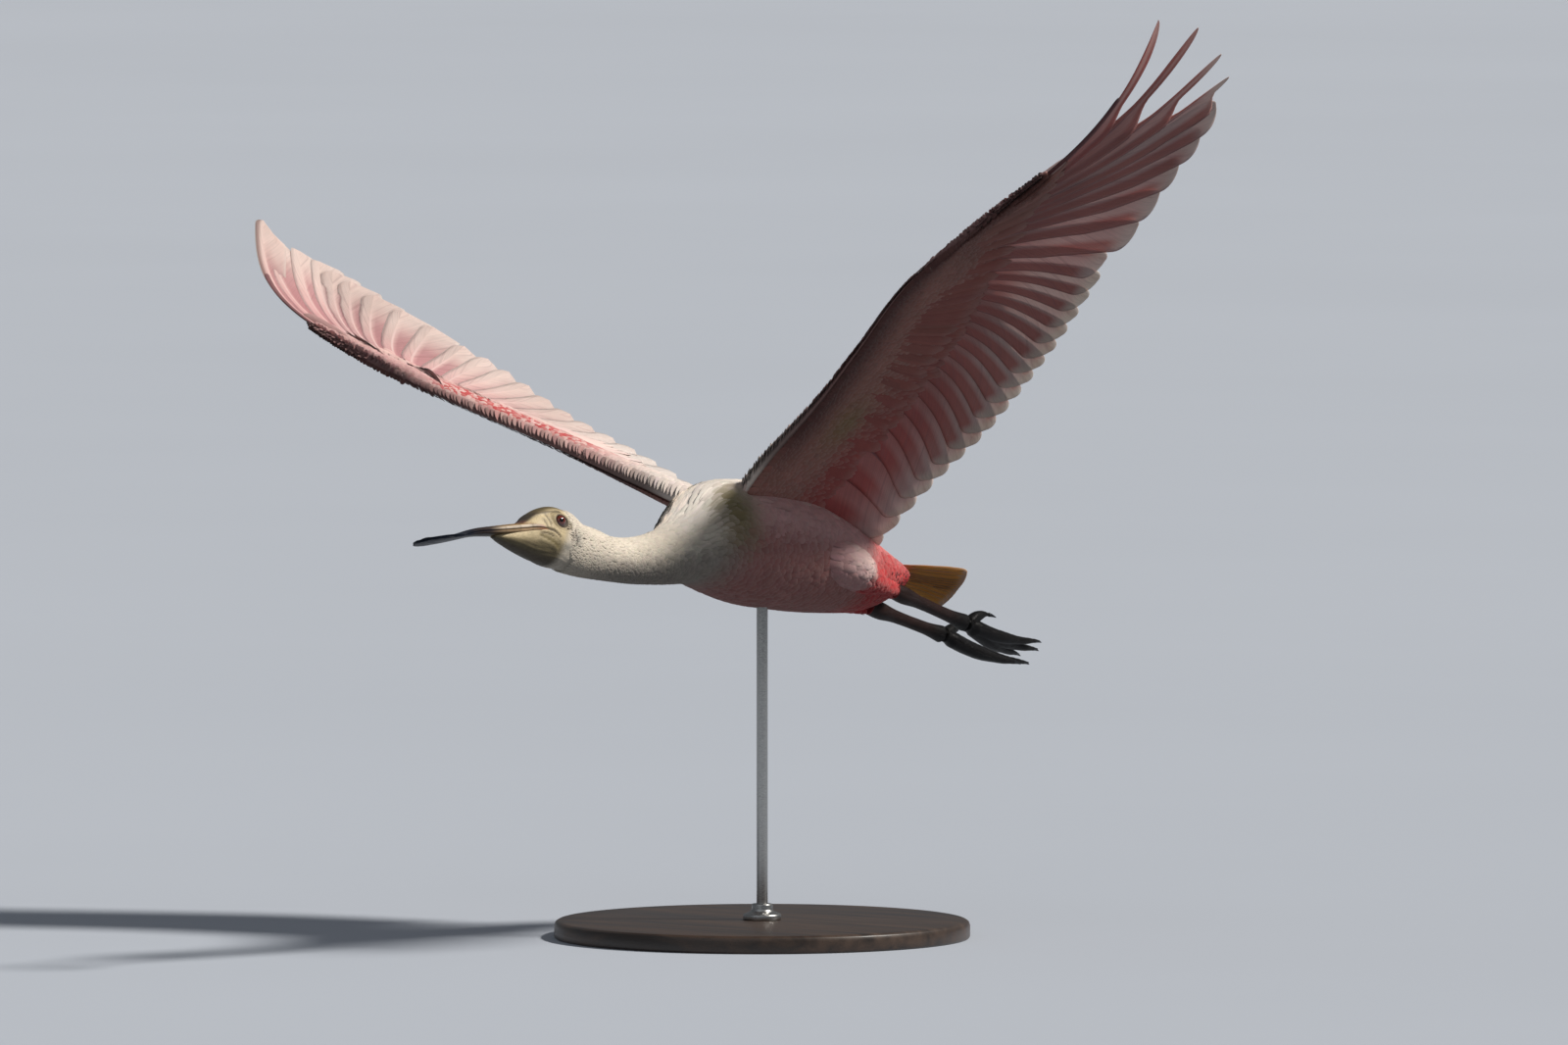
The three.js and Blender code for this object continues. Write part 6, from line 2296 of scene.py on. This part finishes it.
class SPOONBILL_OT_eyes(bpy.types.Operator):
    """Eyeballs with pupil and iris, set under the lids."""

    bl_idname = "spoonbill.eyes"
    bl_label = "Eyes"

    def execute(self, context):
        for side in SIDES:
            piece = eye_ball(f"eyeball_{side}", side)
            piece.data.materials.append(finish("eyeball"))
            finish_piece(piece, "eye", f"eye_{side}")
        return {"FINISHED"}


class SPOONBILL_OT_claws(bpy.types.Operator):
    """Claws at the ends of the toes."""

    bl_idname = "spoonbill.claws"
    bl_label = "Claws"

    def execute(self, context):
        for side, leg in LEGS.items():
            points, faces = merged([claw(toe, 9.5, 1.9) for toe in leg.toes])
            piece = mesh_object(f"claws_{side}", world(points), faces)
            piece.data.materials.append(finish("claw"))
            finish_piece(piece, "leg_scales")
        return {"FINISHED"}


class SPOONBILL_OT_flight_feathers(bpy.types.Operator):
    """Ten flight feathers of each hand, seventeen of each arm."""

    bl_idname = "spoonbill.flight_feathers"
    bl_label = "Flight feathers"

    def execute(self, context):
        for side, wing in WINGS.items():
            for name, vanes in (("primaries", primary_vanes(wing)), ("secondaries", secondary_vanes(wing))):
                piece = vane_object(f"{name}_{side}", vanes)
                piece.data.materials.append(finish("vane"))
                finish_piece(piece, "flight_feathers", f"wing_{name}_{side}")
        return {"FINISHED"}


class SPOONBILL_OT_tail(bpy.types.Operator):
    """Twelve tail feathers."""

    bl_idname = "spoonbill.tail"
    bl_label = "Tail"

    def execute(self, context):
        piece = vane_object("tail_feathers", tail_vanes())
        piece.data.materials.append(finish("vane"))
        finish_piece(piece, "tail_feathers", "tail")
        return {"FINISHED"}


class SPOONBILL_OT_body_coat(bpy.types.Operator):
    """Feathers of neck, back, breast and belly."""

    bl_idname = "spoonbill.body_coat"
    bl_label = "Body coat"

    def execute(self, context):
        ahead, turn = body_roots(252, -240, head_border)
        lots = {
            "coat_neck": (ahead > 96, "tuft", "neck_feathers"),
            "coat_back": ((ahead <= 96) & (np.sin(turn) >= 0), "covert", "body_feathers"),
            "coat_belly": ((ahead <= 96) & (np.sin(turn) < 0), "covert", "body_feathers"),
        }
        for name, (chosen, kind, slot) in lots.items():
            plumage = Plumage()
            lay_on_body(plumage, ahead[chosen], turn[chosen], kind)
            if name == "coat_back":
                lay_shoulders(plumage)
            finish_piece(coat_piece(name, plumage), slot)
        return {"FINISHED"}


def lay_shoulders(plumage):
    """Long white feathers from the shoulders over the roots of the wings."""
    for side in (0, 1):
        ahead = np.repeat(np.arange(34, -70, -8.0), 7)
        ranks = np.tile(np.arange(7), len(ahead) // 7)
        turn = np.radians(30 + 8 * ranks)
        ahead = ahead + ragged(len(ahead), 1.5)
        turn = turn + ragged(len(ahead), 0.03)
        lay_on_body(plumage, ahead, math.pi - turn if side else turn, "plume", 1.7, 2.4, 0.14)


class SPOONBILL_OT_leg_coat(bpy.types.Operator):
    """Soft feathers of the thighs."""

    bl_idname = "spoonbill.leg_coat"
    bl_label = "Leg coat"

    def execute(self, context):
        plumage = Plumage()
        for side, leg in LEGS.items():
            lay_on_thigh(plumage, leg, side)
        finish_piece(coat_piece("coat_thighs", plumage), "body_feathers")
        return {"FINISHED"}


class SPOONBILL_OT_wing_coat(bpy.types.Operator):
    """Coverts above and below each wing."""

    bl_idname = "spoonbill.wing_coat"
    bl_label = "Wing coat"

    def execute(self, context):
        for side, wing in WINGS.items():
            for face, layer in (("upper", 1), ("under", -1)):
                plumage = Plumage()
                great_coverts(plumage, wing, layer)
                small_coverts(plumage, wing, layer)
                edge_feathers(plumage, wing, layer)
                if layer > 0:
                    long_coverts(plumage, wing)
                    thumb_feathers(plumage, wing)
                finish_piece(coat_piece(f"coat_wing_{face}_{side}", plumage), "wing_coverts")
        clear_prototypes()
        return {"FINISHED"}


# Stand
STAND_BASE = [(0, 0), (183.5, 0), (185, 1.5), (185, 11), (184, 14), (181.6, 15.6), (178, 16), (0, 16)]
STAND_COLLAR = [
    (5.3, 16.3), (17, 16.3), (17, 20), (16.2, 21.3), (10.6, 23.4),
    (9.4, 25.4), (9.3, 29.4), (8.6, 30.3), (5.3, 30.3),
]
STAND_POST = [(0, 16.3), (4.6, 16.3), (5, 16.8), (5, 339.4), (4.4, 340), (0, 340)]


def turned_piece(name, profile, sides, closed=False):
    """Piece turned on a lathe from its profile of radius and height, in millimetres."""
    turn = np.arange(sides) / sides * 2 * math.pi
    rings = np.array([
        np.stack([r * np.cos(turn), r * np.sin(turn), z + 0 * turn], -1) for r, z in profile if r > 0
    ])
    if closed:
        points = rings.reshape(-1, 3)
        faces = ring_faces(len(rings), sides)
        last = (len(rings) - 1) * sides
        faces += [[last + i, last + (i + 1) % sides, (i + 1) % sides, i] for i in range(sides)]
    else:
        points, faces = tube(rings)
    piece = mesh_object(name, points * 0.001, faces)
    bevel = piece.modifiers.new("edges", "BEVEL")
    bevel.width, bevel.segments = 0.0004, 2
    bevel.limit_method, bevel.angle_limit = "ANGLE", math.radians(25)
    baked_mesh(piece)
    return piece


class SPOONBILL_OT_stand(bpy.types.Operator):
    """Turned wooden base, steel collar and post."""

    bl_idname = "spoonbill.stand"
    bl_label = "Stand"

    def execute(self, context):
        rows = (
            ("base_disc", STAND_BASE, 160, False, "dark wood", "stand_wood", "stand_base"),
            ("post_collar", STAND_COLLAR, 64, True, "brushed steel", "stand_steel", "stand_collar"),
            ("post", STAND_POST, 40, False, "brushed steel", "stand_steel", "stand_rod"),
        )
        for name, profile, sides, closed, look, slot, node in rows:
            piece = turned_piece(name, profile, sides, closed)
            piece.data.materials.append(finish(look))
            finish_piece(piece, slot, node)
        return {"FINISHED"}


FLOOR_RADIUS = 260.0
# Directions of the lights as shares of the camera's right, up and back
KEY_DIRECTION = (0.66, 0.71, 0.10)
SOFT_DIRECTION = (-0.4, 0.6, 0.75)
SOFT_SHARE = 0.07
KEY_TINT = (1.0, 0.96, 0.9)
SOFT_TINT = (0.9, 0.95, 1.0)
SKY_TINT = (0.86, 0.92, 1.0, 1)
# What the camera takes in at the bird, and how far its middle lies from the shoulders' middle.
# The two distances come from where the fit puts the shoulders in the picture
VIEW_WIDTH = 1.391
VIEW_RIGHT = 0.0521
VIEW_DOWN = 0.0208
SENSOR_WIDTH = 36


def camera_axes():
    stage = bpy.context.scene.stage_settings
    a, e = stage.azimuth, stage.elevation
    right = Vector((math.cos(a), math.sin(a), 0))
    back = Vector((math.sin(a) * math.cos(e), -math.cos(a) * math.cos(e), math.sin(e)))
    return right, back.cross(right), back


def add_sun(name, direction, strength, spread_angle, tint):
    lamp = bpy.data.lights.new(name, "SUN")
    lamp.energy, lamp.angle, lamp.color = strength, spread_angle, tint
    piece = bpy.data.objects.new(name, lamp)
    piece.rotation_mode = "QUATERNION"
    piece.rotation_quaternion = direction.to_track_quat("Z", "Y")
    piece.location = direction * 4
    bpy.context.scene.collection.objects.link(piece)


class SPOONBILL_OT_stage(bpy.types.Operator):
    """Floor, lights and camera at the photograph's angle."""

    bl_idname = "spoonbill.stage"
    bl_label = "Stage"

    def execute(self, context):
        scene, stage = context.scene, context.scene.stage_settings
        turn = np.arange(96) / 96 * 2 * math.pi
        radii = np.array([1.0, 6.0, 40.0, FLOOR_RADIUS])
        flat = np.zeros((len(radii), len(turn)))
        rings = np.stack([np.outer(radii, np.cos(turn)), np.outer(radii, np.sin(turn)), flat], -1)
        points = np.concatenate([rings.reshape(-1, 3), [[0, 0, 0]]])
        faces = ring_faces(4, 96) + [[i, (i + 1) % 96, 4 * 96] for i in range(96)]
        floor = mesh_object("floor", points, faces)
        floor.data.materials.append(finish("floor"))
        floor.visible_diffuse = False
        right, up, back = camera_axes()
        suns = (
            ("key light", KEY_DIRECTION, stage.key, 9, KEY_TINT),
            ("soft light", SOFT_DIRECTION, stage.key * SOFT_SHARE, 60, SOFT_TINT),
        )
        for name, shares, strength, width, tint in suns:
            direction = (right * shares[0] + up * shares[1] + back * shares[2]).normalized()
            add_sun(name, direction, strength, math.radians(width), tint)
        studio = bpy.data.worlds.new("studio")
        scene.world = studio
        studio.use_nodes = True
        sky = next(node for node in studio.node_tree.nodes if node.type == "BACKGROUND")
        sky.inputs["Color"].default_value = SKY_TINT
        sky.inputs["Strength"].default_value = stage.fill
        lens = bpy.data.cameras.new("camera")
        lens.sensor_width = SENSOR_WIDTH
        lens.lens = SENSOR_WIDTH * stage.distance / VIEW_WIDTH
        lens.clip_start, lens.clip_end = 0.5, 1000
        camera = bpy.data.objects.new("camera", lens)
        camera.rotation_mode = "QUATERNION"
        camera.rotation_quaternion = back.to_track_quat("Z", "Y")
        middle = Vector(BIRD_PLACE * 0.001) + right * VIEW_RIGHT - up * VIEW_DOWN
        camera.location = middle + back * stage.distance
        scene.collection.objects.link(camera)
        scene.camera = camera
        scene.view_settings.view_transform = "Standard"
        return {"FINISHED"}


OPERATORS = (
    SPOONBILL_OT_stage,
    SPOONBILL_OT_stand,
    SPOONBILL_OT_skin,
    SPOONBILL_OT_bill,
    SPOONBILL_OT_eyes,
    SPOONBILL_OT_claws,
    SPOONBILL_OT_flight_feathers,
    SPOONBILL_OT_tail,
    SPOONBILL_OT_body_coat,
    SPOONBILL_OT_leg_coat,
    SPOONBILL_OT_wing_coat,
)


class SPOONBILL_PT_panel(bpy.types.Panel):
    """Buttons that make the bird piece by piece, with its sizes and colours."""

    bl_idname = "SPOONBILL_PT_panel"
    bl_label = "Spoonbill"
    bl_space_type = "VIEW_3D"
    bl_region_type = "UI"
    bl_category = "Spoonbill"

    def draw(self, context):
        for operator in OPERATORS:
            self.layout.operator(operator.bl_idname)
        for group in ("spoonbill_sizes", "spoonbill_colours", "stage_settings"):
            settings = getattr(context.scene, group)
            for key in settings.__annotations__:
                self.layout.prop(settings, key)


CLASSES = (SpoonbillColours, SpoonbillSizes, StageSettings, *OPERATORS, SPOONBILL_PT_panel)


def register():
    for each in CLASSES:
        bpy.utils.register_class(each)
    bpy.types.Scene.spoonbill_colours = bpy.props.PointerProperty(type=SpoonbillColours)
    bpy.types.Scene.spoonbill_sizes = bpy.props.PointerProperty(type=SpoonbillSizes)
    bpy.types.Scene.stage_settings = bpy.props.PointerProperty(type=StageSettings)


def unregister():
    for name in ("spoonbill_colours", "spoonbill_sizes", "stage_settings"):
        delattr(bpy.types.Scene, name)
    for each in reversed(CLASSES):
        bpy.utils.unregister_class(each)


def main():
    register()
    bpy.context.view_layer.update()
    for operator in OPERATORS:
        family, name = operator.bl_idname.split(".")
        getattr(getattr(bpy.ops, family), name)()


if __name__ == "__main__":
    main()
